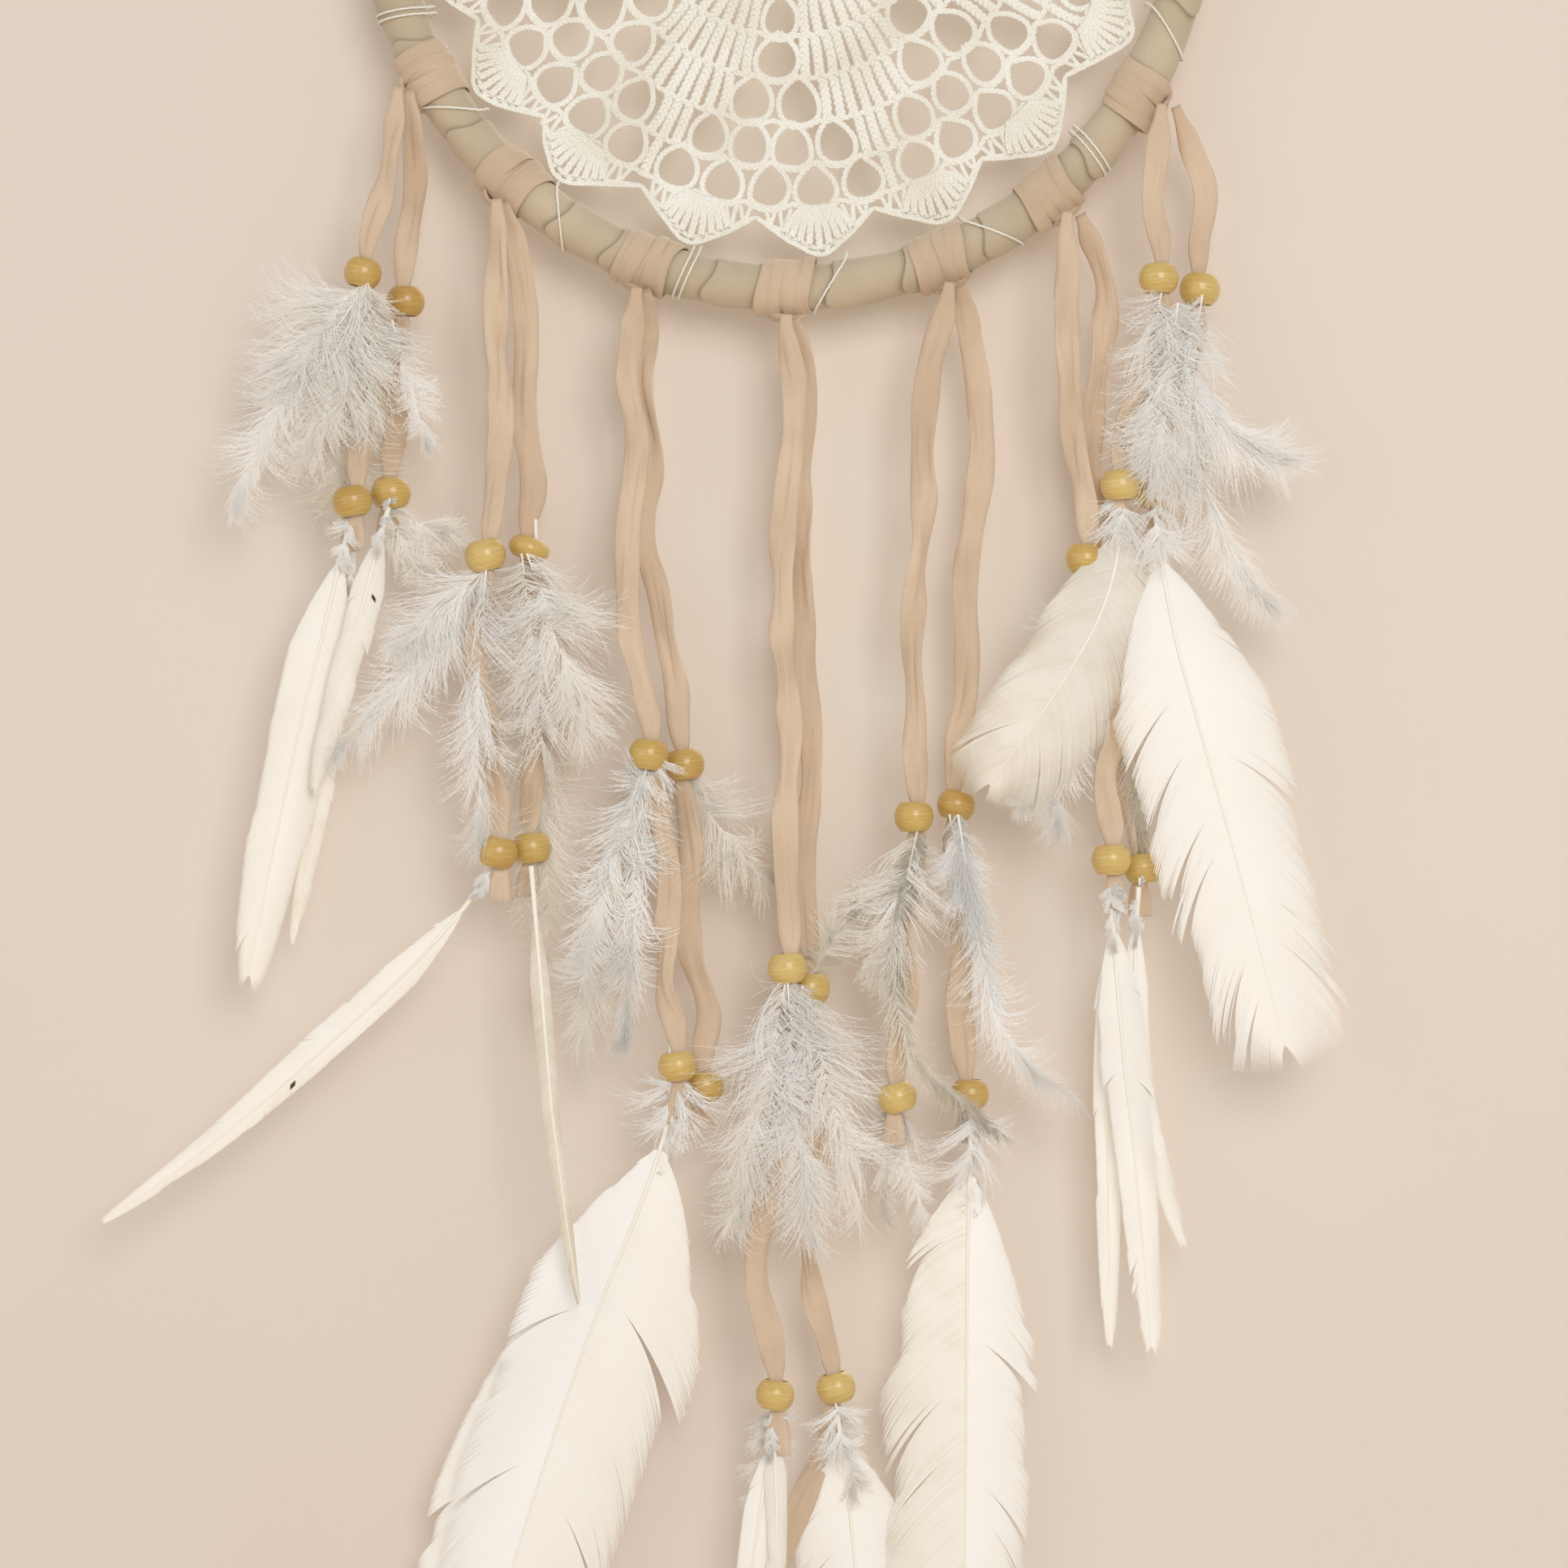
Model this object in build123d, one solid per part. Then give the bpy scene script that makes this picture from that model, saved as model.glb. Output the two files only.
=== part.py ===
from build123d import *
import math
import os

# Dream catcher: a wrapped hoop with a crochet web, hung from a loop, and seven beaded feather strands.
# Millimetres, +Z up, the front faces -Y. The origin is where the hanging loop rests on its nail.

os.makedirs("parts", exist_ok=True)

# ---------------------------------------------------------------- driving dimensions
HOOP_R = 100.5          # hoop centreline radius
TUBE_R = 5.7            # outside of the wrap
CORE_R = 4.2            # rattan ring inside the wrap
CORE_GAP = 0.1          # between the ring and the wrap

STRIP_R = 1.5           # a 6.5 mm jersey strip, as a tube of about the same section
NAIL_R = 2.0            # nail that the hanging loop goes over
LOOP_DROP = 86.0        # from the nail to the end of the hanging loop
LOOP_LEG_X = 1.9        # half the distance between the loop's two ends
LOOP_GAP = 0.4          # free gap between the loop's ends and the knot that twists below them

KNOT_BORE_R = 6.2       # inside of a knot's turns round the wrap
KNOT_R = 7.4            # outside of them
KNOT_TURN_W = 4.8       # width of each of a knot's two turns
KNOT_TURN_GAP = 0.6     # between the two turns
KNOT_BAR_R = 1.6        # the bight that crosses the turns
KNOT_BAR_OUT = 7.9      # the bight's distance from the centre of the wrapped tube
KNOT_BAR_TURN = 48.0    # how far forward of straight outwards the bight lies, in degrees
NECK_R = 3.9            # gathered strips above the top knot
NECK_H = 5.0

WEB_Y = -2.0            # middle plane of the crochet web
WEB_T = 1.2
WEB_R = 86.0            # radius at the valleys between the scallops
SCALLOPS = 18
SCALLOP_R = 12.3
SCALLOP_CENTRE_R = 80.5
SCALLOP_TURN = 5.0      # one scallop points this many degrees right of straight down
WEB_HOLES = [(12.0, 6, 3.6), (26.0, 12, 4.4), (41.0, 18, 4.6), (55.0, 18, 4.8), (69.5, 18, 4.8)]

TIE_R = 0.5             # lashing thread
TIE_RING_R = 6.35       # centre of a thread's turn round the wrap
TIE_ANGLES = [-55.5, -34, -14, 6, 30, 48.5, 68, 88, 108, 128, 148, 168, 192, 212, 232, 252, 272, 290]

BEAD_R = 4.7
BEAD_BORE_R = 2.6
BEAD_HALF_H = math.sqrt(BEAD_R**2 - BEAD_BORE_R**2)
STRIP_IN_BORE = 0.7     # strip's offset from the bore's centre
QUILL_IN_BORE = 1.6     # quill's offset on the other side
QUILL_R = 0.5
QUILL_ABOVE = 0.6       # quill standing out above a bead
QUILL_BELOW = 1.4       # straight quill under a bead

LEG_Y = 3.0             # each leg's offset in front of or behind its strand's middle plane
HINGE_R = 112.5         # distance of a strand's upper hinge from the hoop's centre
HINGE_Y = -0.8          # a hinge lies this far in front of its strand's middle plane
BEND_GAP = 2.0          # gap between strip solids at a bend below the upper beads
TAIL_DROP = 6.3         # a lower hinge is this far under the centre of the lower of its two upper beads
VANE_T = 1.0            # thickness of a feather's solid
VANE_BACK = 8.6         # upper feathers lie this far behind their strand's middle plane

HOOP_Z = -(LOOP_DROP + LOOP_GAP + NECK_H + KNOT_R + HOOP_R)

# ---------------------------------------------------------------- the seven strands
# Positions are (x, z) from the hoop's centre. Each strand has a front leg and a back leg. A leg's route
# goes from its knot's hinge to its upper bead, and then from the lower hinge to its lower bead.
# "side" is the side of the bore that the quill takes: -1 left, 1 right.
# A feather is (root, middle, tip, half width).
STRANDS = [
    {"knot": -61.0, "y": -4.0, "legs": [
        {"top": -97.0, "bead": (-104.2, -97.6), "side": -1, "route": [(-99, -78), (-103.4, -88.6)],
         "vane": ((-108, -108), (-120, -124), (-141, -163), 8.0),
         "low_bead": (-106.8, -153.6), "low_side": -1, "end": 12.0,
         "low_route": [(-105.8, -124), (-103.6, -136), (-106, -147)],
         "low_vane": ((-109, -163), (-123, -215), (-132, -270), 6.0)},
        {"top": -92.0, "bead": (-94.2, -104.0), "side": 1, "route": [(-91.6, -80), (-95, -94)],
         "vane": ((-91, -113), (-89, -130), (-89, -148), 4.0),
         "low_bead": (-97.8, -151.2), "low_side": 1, "end": 11.0,
         "low_route": [(-98.4, -125), (-95.4, -134), (-98.6, -144.5)],
         "low_vane": ((-94, -160), (-101, -190), (-115, -219), 3.0)}]},
    {"knot": -42.3, "y": -3.5, "legs": [
        {"top": -70.5, "bead": (-74.2, -166.8), "side": -1, "route": [(-72.2, -112), (-69.5, -134), (-73.4, -156)],
         "vane": ((-79, -176), (-90, -189), (-101, -205), 4.0),
         "low_bead": (-71.2, -239.6), "low_side": -1, "end": 12.0,
         "low_route": [(-77.2, -188), (-74.6, -203), (-72.6, -218), (-70.4, -231.5)],
         "low_vane": ((-76, -249), (-122, -291), (-168, -330), 4.5)},
        {"top": -67.0, "bead": (-63.8, -164.8), "side": 1,
         "route": [(-63.8, -110), (-65.8, -131), (-62, -150), (-64.6, -160)],
         "vane": ((-58, -174), (-50, -205), (-53, -239), 5.0),
         "low_bead": (-63.2, -238.6), "low_side": 1, "end": 12.0,
         "low_route": [(-59, -190), (-62, -212), (-64, -231)],
         "low_vane": ((-60, -250), (-59, -285), (-55, -318), 2.5)}]},
    {"knot": -20.05, "y": -3.0, "legs": [
        {"top": -37.5, "bead": (-34.2, -215.6), "side": -1,
         "route": [(-40, -122), (-36.5, -139), (-39.3, -160), (-40.3, -183), (-33.4, -206)],
         "vane": ((-39, -226), (-45, -256), (-45, -289), 7.0),
         "low_bead": (-27.2, -292.0), "low_side": -1, "end": 14.0,
         "low_route": [(-29, -240), (-29.4, -258), (-31.4, -273), (-26.4, -284.5)],
         "low_vane": ((-31, -303), (-55, -372), (-76, -461), 13.0)},
        {"top": -33.5, "bead": (-25.5, -218.0), "side": 1,
         "route": [(-36.5, -121), (-33, -142), (-35.3, -163), (-29.5, -187), (-26.3, -208)],
         "vane": ((-20, -228), (-15.5, -246), (-12, -263), 4.0),
         "low_bead": (-20.6, -297.2), "low_side": 1, "end": 11.0,
         "low_route": [(-22.8, -243), (-25.4, -263), (-18.8, -280), (-21.4, -290.5)],
         "low_vane": ((-15, -310), (-28, -352), (-60, -420), 7.0)}]},
    {"knot": -0.1, "y": -2.5, "legs": [
        {"top": -0.8, "bead": (-0.2, -268.0), "side": -1,
         "route": [(2.8, -130), (-0.8, -152), (-2.2, -178), (0.8, -206), (-1.2, -234), (0.6, -257)],
         "vane": ((-4, -279), (-8, -315), (-14, -352), 6.0),
         "low_bead": (-3.2, -372.6), "low_side": -1, "end": 15.0,
         "low_route": [(-1.6, -300), (-5, -322), (-9, -343), (-2.4, -364)],
         "low_vane": ((-6, -383), (-9, -420), (-12, -461), 4.0)},
        {"top": 2.6, "bead": (5.4, -273.2), "side": 1,
         "route": [(4.8, -133), (2.4, -157), (3.8, -186), (6, -216), (3.2, -242), (4.6, -261)],
         "vane": ((10, -284), (14, -316), (21, -352), 6.0),
         "low_bead": (11.8, -371.6), "low_side": 1, "end": 10.0,
         "low_route": [(7.6, -300), (4.8, -323), (4.6, -346), (11, -361.5)],
         "tail_route": [(4.8, -396), (-3, -416)],
         "low_vane": ((14.5, -382), (18, -421), (18, -463), 11.0)}]},
    {"knot": 21.95, "y": -3.0, "legs": [
        {"top": 38.8, "bead": (30.8, -230.8), "side": -1,
         "route": [(34.6, -119), (32.6, -140), (33.8, -161), (29.8, -184), (31.6, -215)],
         "vane": ((27, -240), (22, -256), (18, -272), 4.0),
         "low_bead": (26.8, -299.6), "low_side": 1, "end": 12.0,
         "low_route": [(28, -255), (29.5, -275), (26, -291)],
         "low_vane": ((31, -309), (32, -330), (31, -352), 3.5)},
        {"top": 44.0, "bead": (41.4, -228.0), "side": 1,
         "route": [(46.6, -125), (48.6, -143), (43, -169), (44.8, -196), (40.6, -219)],
         "vane": ((46, -238), (52, -268), (69, -299), 4.0),
         "low_bead": (44.8, -299.2), "low_side": 1, "end": 12.0,
         "low_route": [(43.6, -256), (41.4, -274), (44, -291)],
         "low_vane": ((48.5, -308), (47.5, -383), (43, -457), 14.0)}]},
    {"knot": 39.75, "y": -3.5, "legs": [
        {"top": 67.8, "bead": (72.8, -167.6), "side": -1, "route": [(68.6, -118), (70.2, -140), (73.6, -158)],
         "vane": ((69, -177), (62, -210), (62, -247), 5.0),
         "low_bead": (79.2, -241.4), "low_side": -1, "end": 12.0,
         "low_route": [(78, -192), (83, -208), (76.4, -221), (80, -234)],
         "low_vane": ((76, -251), (82, -306), (90, -361), 6.5)},
        {"top": 74.8, "bead": (80.8, -165.6), "side": 1,
         "route": [(79.3, -104), (75.4, -128), (73.4, -150), (80.1, -159)],
         "vane": ((85, -177), (89, -212), (86, -250), 4.0),
         "low_bead": (87.4, -243.5), "low_side": 1, "end": 12.0,
         "low_route": [(83.6, -192), (81.6, -212), (86.6, -235)],
         "low_vane": ((90, -253), (88, -300), (80, -355), 4.0)}]},
    {"knot": 58.45, "y": -4.0, "legs": [
        {"top": 91.0, "bead": (90.8, -99.0), "side": -1, "route": [(89, -80), (91.6, -90)],
         "vane": ((87.5, -108), (87, -124), (86, -140), 3.5),
         "low_bead": (81.4, -149.6), "low_side": 1, "end": 5.5,
         "low_route": [(89.8, -120), (84, -131), (80.6, -142)],
         "low_vane": ((86, -158), (95, -178), (100, -214), 4.0)},
        {"top": 99.0, "bead": (101.4, -101.0), "side": 1, "route": [(104, -78), (100.6, -92)],
         "vane": ((105, -109), (119, -126), (133, -150), 5.0),
         "low_bead": (90.6, -151.5), "low_side": 1, "end": 12.0,
         "low_route": [(98.4, -121), (92, -132), (89.8, -144)],
         "low_vane": ((94, -161), (106, -222), (122, -288), 9.0)}]},
]
LEG_SIDES = (-1, 1)     # the first leg is in front of the strand's middle plane, the second behind it

# The hanging loop as (x, z) from the nail, left end to right end.
LOOP_ROUTE = [(-LOOP_LEG_X, -LOOP_DROP), (-3.4, -60), (-4.4, -30), (-4.0, STRIP_R),
              (4.0, STRIP_R), (4.4, -30), (3.4, -60), (LOOP_LEG_X, -LOOP_DROP)]


# ---------------------------------------------------------------- helpers
def place(x, y, z):
    """A point given from the hoop's centre."""
    return Vector(x, y, HOOP_Z + z)


def arc_radii(points):
    """For each corner, 0.45 of its shorter run over the tangent of half its turn."""
    radii = []
    for before, corner, after in zip(points, points[1:], points[2:]):
        run_in = corner - before
        run_out = after - corner
        half_turn = math.radians(run_in.get_angle(run_out) / 2)
        radii.append(0.45 * min(run_in.length, run_out.length) / math.tan(half_turn))
    return radii


def strip(name, points, ball=False):
    """A strip as a round tube along runs and tangent arcs, with a ball at its top if it turns there."""
    radii = arc_radii(points)
    path = FilletPolyline(*points, radius=radii)
    tube = sweep(Plane(origin=path @ 0, z_dir=path % 0) * Circle(STRIP_R), path=path)
    section_times_length = math.pi * STRIP_R**2 * path.length
    print(f"{name}: length {path.length:.1f}, smallest radius {min(radii):.1f}, "
          f"volume {tube.volume:.0f} of {section_times_length:.0f}")
    return tube + Pos(*points[0]) * Sphere(STRIP_R) if ball else tube


def rod(start, end, radius):
    """A straight round rod with a ball at its far end, so that the next rod joins it."""
    line = Line(start, end)
    return sweep(Plane(origin=start, z_dir=line % 0) * Circle(radius), path=line) + Pos(*end) * Sphere(radius)


def bead(x, y, z):
    """A turned wooden ball with a straight bore."""
    return Pos(*place(x, y, z)) * (Sphere(BEAD_R) - Cylinder(BEAD_BORE_R, 2 * BEAD_R))


def feather(centre, bead_y, side, vane, vane_y):
    """A feather: a quill through the bead beside the strip, and a thin vane with two curved edges."""
    root, middle, tip, half_width = vane
    quill_x = centre[0] + side * QUILL_IN_BORE
    above = place(quill_x, bead_y, centre[1] + BEAD_HALF_H + QUILL_ABOVE)
    below = place(quill_x, bead_y, centre[1] - BEAD_HALF_H - QUILL_BELOW)
    along = (Vector(*tip) - Vector(*root)).normalized()
    across = Vector(-along.Y, along.X) * half_width
    left = ThreePointArc(root, Vector(*middle) + across, tip)
    right = ThreePointArc(tip, Vector(*middle) - across, root)
    blade = extrude(make_face([left, right]), VANE_T / 2, both=True)
    blade = Pos(0, vane_y, HOOP_Z) * Rot(90, 0, 0) * blade
    inside = Vector(*root) + along * half_width
    return rod(above, below, QUILL_R) + rod(below, place(inside.X, vane_y, inside.Y), QUILL_R) + blade


def knot(angle):
    """A lark's head: two turns round the wrapped tube and a bight across their front."""
    turn_middle = (KNOT_TURN_W + KNOT_TURN_GAP) / 2
    ring = Cylinder(KNOT_R, KNOT_TURN_W) - Cylinder(KNOT_BORE_R, KNOT_TURN_W)
    turns = Pos(0, 0, turn_middle) * ring + Pos(0, 0, -turn_middle) * ring
    lie = math.radians(KNOT_BAR_TURN)
    bar = Pos(KNOT_BAR_OUT * math.cos(lie), -KNOT_BAR_OUT * math.sin(lie), 0)
    bight = bar * Cylinder(KNOT_BAR_R, 2 * turn_middle + KNOT_TURN_W)
    swing = math.radians(angle)
    outwards = Vector(math.sin(swing), 0, -math.cos(swing))
    tangent = Vector(0, 1, 0).cross(outwards) * -1
    centre = Vector(0, 0, HOOP_Z) + outwards * HOOP_R
    return Plane(origin=centre, x_dir=outwards, z_dir=tangent) * (turns + bight)


def hinge_height(strand):
    """Height of a strand's upper hinge, from the hoop's centre."""
    nearest = min(abs(leg["top"]) for leg in strand["legs"])
    return -math.sqrt(HINGE_R**2 - nearest**2)


def tail_hinge_height(strand):
    """Height of a strand's lower hinge, from the hoop's centre."""
    return min(leg["bead"][1] for leg in strand["legs"]) - TAIL_DROP


# ---------------------------------------------------------------- the hoop and its web
def make_core():
    return Pos(0, 0, HOOP_Z) * Rot(90, 0, 0) * Torus(HOOP_R, CORE_R)


def make_wrap():
    skin = Torus(HOOP_R, TUBE_R) - Torus(HOOP_R, CORE_R + CORE_GAP)
    return Pos(0, 0, HOOP_Z) * Rot(90, 0, 0) * skin


def make_web():
    outline = Circle(WEB_R) + PolarLocations(SCALLOP_CENTRE_R, SCALLOPS) * Circle(SCALLOP_R)
    holes = []
    for ring_radius, count, hole_radius in WEB_HOLES:
        holes += [place_hole * Circle(hole_radius) for place_hole in PolarLocations(ring_radius, count)]
    flat = extrude(outline - holes, WEB_T / 2, both=True)
    return Pos(0, WEB_Y, HOOP_Z) * Rot(90, 0, 0) * Rot(0, 0, SCALLOP_TURN - 90) * flat


def make_ties():
    """One turn of lashing thread round the wrap beside each scallop."""
    turns = []
    for angle in TIE_ANGLES:
        swing = math.radians(angle)
        outwards = Vector(math.sin(swing), 0, -math.cos(swing))
        tangent = Vector(0, 1, 0).cross(outwards)
        centre = Vector(0, 0, HOOP_Z) + outwards * HOOP_R
        turns.append(Plane(origin=centre, x_dir=outwards, z_dir=tangent) * Torus(TIE_RING_R, TIE_R))
    return Compound(children=turns)


def make_top_knot():
    neck_height = NECK_H + KNOT_R - KNOT_BORE_R
    neck = Pos(0, 0, HOOP_Z + HOOP_R + KNOT_BORE_R + neck_height / 2) * Cylinder(NECK_R, neck_height)
    bore = Pos(0, 0, HOOP_Z + HOOP_R) * Rot(0, 90, 0) * Cylinder(KNOT_BORE_R, 4 * KNOT_R)
    return knot(180) + (neck - bore)


def make_hanging_loop():
    return strip("hanging_loop", [Vector(x, 0, z) for x, z in LOOP_ROUTE])


# ---------------------------------------------------------------- the strands
def make_upper(number, strand):
    """The half of a strand that hangs from the hoop: strips, upper beads and upper feathers."""
    strips, beads, feathers = [], [], []
    end_z = tail_hinge_height(strand) + STRIP_R + BEND_GAP
    for leg, side in zip(strand["legs"], LEG_SIDES):
        y = strand["y"] + side * LEG_Y
        x, z = leg["bead"]
        strip_x = x - leg["side"] * STRIP_IN_BORE
        route = [(leg["top"], hinge_height(strand))] + leg["route"] + [(strip_x, end_z)]
        strips.append(strip(f"strand_{number} strip", [place(px, y, pz) for px, pz in route], ball=True))
        beads.append(bead(x, y, z))
        feathers.append(feather(leg["bead"], y, leg["side"], leg["vane"], strand["y"] + VANE_BACK))
    return strips, beads, feathers


def make_tail(number, strand):
    """The half below the upper beads: strips, lower beads and lower feathers."""
    strips, beads, feathers = [], [], []
    for leg, side in zip(strand["legs"], LEG_SIDES):
        y = strand["y"] + side * LEG_Y
        x, z = leg["low_bead"]
        start_x = leg["bead"][0] - leg["side"] * STRIP_IN_BORE
        strip_x = x - leg["low_side"] * STRIP_IN_BORE
        route = [(start_x, tail_hinge_height(strand))] + leg["low_route"] + [(strip_x, z - leg["end"])]
        route += leg.get("tail_route", [])
        strips.append(strip(f"tail_{number} strip", [place(px, y, pz) for px, pz in route], ball=True))
        beads.append(bead(x, y, z))
        feathers.append(feather(leg["low_bead"], y, leg["low_side"], leg["low_vane"], y))
    return strips, beads, feathers


def main():
    parts = {"hanging_loop": make_hanging_loop(), "top_knot": make_top_knot(), "hoop_core": make_core(),
             "hoop_wrap": make_wrap(), "web": make_web(), "web_ties": make_ties()}
    for number, strand in enumerate(STRANDS, start=1):
        parts[f"knot_{number}"] = knot(strand["knot"])
        for half, made in (("strand", make_upper(number, strand)), ("tail", make_tail(number, strand))):
            for kind, solids in zip(("strips", "beads", "feathers"), made):
                parts[f"{half}_{number}_{kind}"] = Compound(children=solids)
        top = place(0, strand["y"] + HINGE_Y, hinge_height(strand))
        low = place(0, strand["y"] + HINGE_Y, tail_hinge_height(strand))
        print(f"strand {number}: hinge y {top.Y:.2f} z {top.Z:.2f}, lower hinge z {low.Z:.2f}")
    print(f"hoop centre z {HOOP_Z:.2f}, tilt hinge z {HOOP_Z + HOOP_R:.2f}")
    for node, shape in parts.items():
        export_step(shape, f"parts/{node}.step")


main()
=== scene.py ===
# %% [markdown]
# # A dream catcher
# A wrapped hoop holds a round of crochet lace. Seven jersey strips are knotted on the hoop, and each has
# two legs with beads, soft down and long feathers. The CAD parts are the fixed frame: they say where every
# piece is and what it moves with. Here each plain solid is replaced by a piece with the look of the real one.

# %% Load the fixed frame
import math
import bpy
import numpy as np
from mathutils import Matrix, Vector


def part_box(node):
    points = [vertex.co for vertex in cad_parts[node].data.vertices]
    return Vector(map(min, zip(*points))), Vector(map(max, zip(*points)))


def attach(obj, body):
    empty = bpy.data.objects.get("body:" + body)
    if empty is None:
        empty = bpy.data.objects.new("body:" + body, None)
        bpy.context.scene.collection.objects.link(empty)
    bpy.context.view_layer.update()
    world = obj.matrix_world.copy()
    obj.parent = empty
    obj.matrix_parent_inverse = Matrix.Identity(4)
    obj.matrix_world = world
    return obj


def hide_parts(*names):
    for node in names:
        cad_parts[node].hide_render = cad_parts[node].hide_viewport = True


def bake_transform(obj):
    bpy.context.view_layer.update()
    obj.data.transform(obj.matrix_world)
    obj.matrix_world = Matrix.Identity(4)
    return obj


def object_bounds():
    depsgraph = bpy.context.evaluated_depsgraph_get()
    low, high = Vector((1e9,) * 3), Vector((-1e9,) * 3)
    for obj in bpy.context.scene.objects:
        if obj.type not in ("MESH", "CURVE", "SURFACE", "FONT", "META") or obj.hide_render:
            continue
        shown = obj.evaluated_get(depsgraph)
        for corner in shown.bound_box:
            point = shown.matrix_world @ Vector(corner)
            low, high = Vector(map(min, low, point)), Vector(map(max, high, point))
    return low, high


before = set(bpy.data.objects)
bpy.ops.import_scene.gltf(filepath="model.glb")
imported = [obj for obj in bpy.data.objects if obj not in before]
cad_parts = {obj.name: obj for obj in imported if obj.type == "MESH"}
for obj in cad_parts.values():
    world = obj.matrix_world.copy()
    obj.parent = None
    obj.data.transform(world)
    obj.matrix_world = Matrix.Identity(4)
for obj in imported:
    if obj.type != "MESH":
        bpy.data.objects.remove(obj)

MM = 0.001
cad_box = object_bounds()
wrap_low, wrap_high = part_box("hoop_wrap")
HOOP = (wrap_low + wrap_high) / 2
print(f"hoop centre at {tuple(round(v, 4) for v in HOOP)}, CAD box {cad_box}")

# %% [markdown]
# ## Camera, wall and light
# The catcher hangs flat against a pale wall, and is looked at straight on from 1.2 m. A long lens keeps the
# strands upright. The wall is seen only from its front, so that views from behind look through it.

# %% Places and colours
def place(x, z, y=0.0):
    """A point in metres, from metres measured from the hoop's centre."""
    return Vector((HOOP.x + x, HOOP.y + y, HOOP.z + z))


def colour(red, green, blue):
    """A screen colour from 0 to 255 as the linear colour that Blender's sockets take."""
    return tuple(((v / 255 + 0.055) / 1.055) ** 2.4 for v in (red, green, blue)) + (1.0,)


# %% The camera
VIEW_DISTANCE = 1.2
LENS = 111.8
camera_data = bpy.data.cameras.new("camera")
camera_data.sensor_width = 36
camera_data.lens = LENS
camera = bpy.data.objects.new("camera", camera_data)
camera.location = place(-0.001, -0.2228, -VIEW_DISTANCE)
camera.rotation_euler = (math.radians(90), 0, 0)
bpy.context.scene.collection.objects.link(camera)
bpy.context.scene.camera = camera
print("camera at", tuple(round(v, 3) for v in camera.location))


# %% Small tools for materials
def new_material(name, base, roughness, **sockets):
    """A Principled material. Returns it with its node tree and shader."""
    material = bpy.data.materials.new(name)
    material.use_nodes = True
    shader = material.node_tree.nodes["Principled BSDF"]
    shader.inputs["Base Color"].default_value = base
    shader.inputs["Roughness"].default_value = roughness
    for socket, value in sockets.items():
        shader.inputs[socket.replace("_", " ")].default_value = value
    return material, material.node_tree, shader


def add_node(tree, kind, inputs=None, **settings):
    """A node with its settings, and with its inputs set to values or joined to other nodes' outputs."""
    made = tree.nodes.new("ShaderNode" + kind)
    for setting, value in settings.items():
        setattr(made, setting, value)
    for socket, value in (inputs or {}).items():
        if isinstance(value, bpy.types.NodeSocket):
            tree.links.new(value, made.inputs[socket])
        else:
            made.inputs[socket].default_value = value
    return made


def ramp(tree, factor, *stops):
    """A colour ramp over (place, colour) stops."""
    made = add_node(tree, "ValToRGB", {"Fac": factor})
    bar = made.color_ramp.elements
    while len(bar) < len(stops):
        bar.new(0.5)
    for element, (spot, shade) in zip(bar, stops):
        element.position = spot
        element.color = shade
    return made.outputs["Color"]


def coordinates(tree, kind="Object", scale=(1, 1, 1)):
    """Object or UV coordinates through a Mapping node."""
    source = add_node(tree, "TexCoord")
    mapping = add_node(tree, "Mapping", {"Vector": source.outputs[kind], "Scale": scale})
    return mapping.outputs["Vector"]


def noise(tree, scale, detail, vector=None, **more):
    """A noise over Object coordinates, or over the given ones."""
    inputs = {"Vector": vector or coordinates(tree), "Scale": scale, "Detail": detail}
    return add_node(tree, "TexNoise", inputs | more).outputs["Fac"]


def arithmetic(tree, operation, first, second):
    return add_node(tree, "Math", {0: first, 1: second}, operation=operation).outputs[0]


def paint(tree, shader, socket):
    """Joins a colour to the shader."""
    tree.links.new(socket, shader.inputs["Base Color"])


def bump(tree, shader, height, depth, strength=1.0):
    """Height as a bump on the shader, with its depth in metres."""
    made = add_node(tree, "Bump", {"Height": height, "Distance": depth, "Strength": strength})
    tree.links.new(made.outputs["Normal"], shader.inputs["Normal"])


# %% Wall and floor
def plain_plane(name, location, rotation, material):
    bpy.ops.object.select_all(action="DESELECT")
    bpy.ops.mesh.primitive_plane_add(size=STAGE_SIZE, location=location, rotation=rotation)
    plane = bpy.context.object
    plane.name = name
    plane.data.materials.append(material)
    return plane


WALL_Y = 0.016
STAGE_SIZE = 4.0
wall_paint, tree, shader = new_material("wall_paint", colour(228, 213, 194), 0.85)
patches = noise(tree, 2.5, 3.0)
paint(tree, shader, ramp(tree, patches, (0.3, colour(229, 214, 203)), (0.7, colour(233, 223, 211))))
seen_from = add_node(tree, "NewGeometry")
clear = add_node(tree, "BsdfTransparent")
sides = {0: seen_from.outputs["Backfacing"], 1: shader.outputs[0], 2: clear.outputs[0]}
both = add_node(tree, "MixShader", sides)
tree.links.new(both.outputs[0], tree.nodes["Material Output"].inputs["Surface"])
wall = plain_plane("wall", place(0, 0, WALL_Y), (math.radians(90), 0, 0), wall_paint)
wall.visible_shadow = False
floor_paint = new_material("floor_paint", colour(226, 216, 203), 0.8)[0]
plain_plane("floor", (0, 0, cad_box[0][2] - 0.05), (0, 0, 0), floor_paint)
print("wall and floor made")


# %% Soft studio light
def soft_light(name, energy, size, location, tint):
    data = bpy.data.lights.new(name, "AREA")
    data.energy = energy
    data.size = size
    data.color = tint
    light = bpy.data.objects.new(name, data)
    light.location = location
    light.rotation_euler = (aim - location).to_track_quat("-Z", "Y").to_euler()
    bpy.context.scene.collection.objects.link(light)


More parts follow.
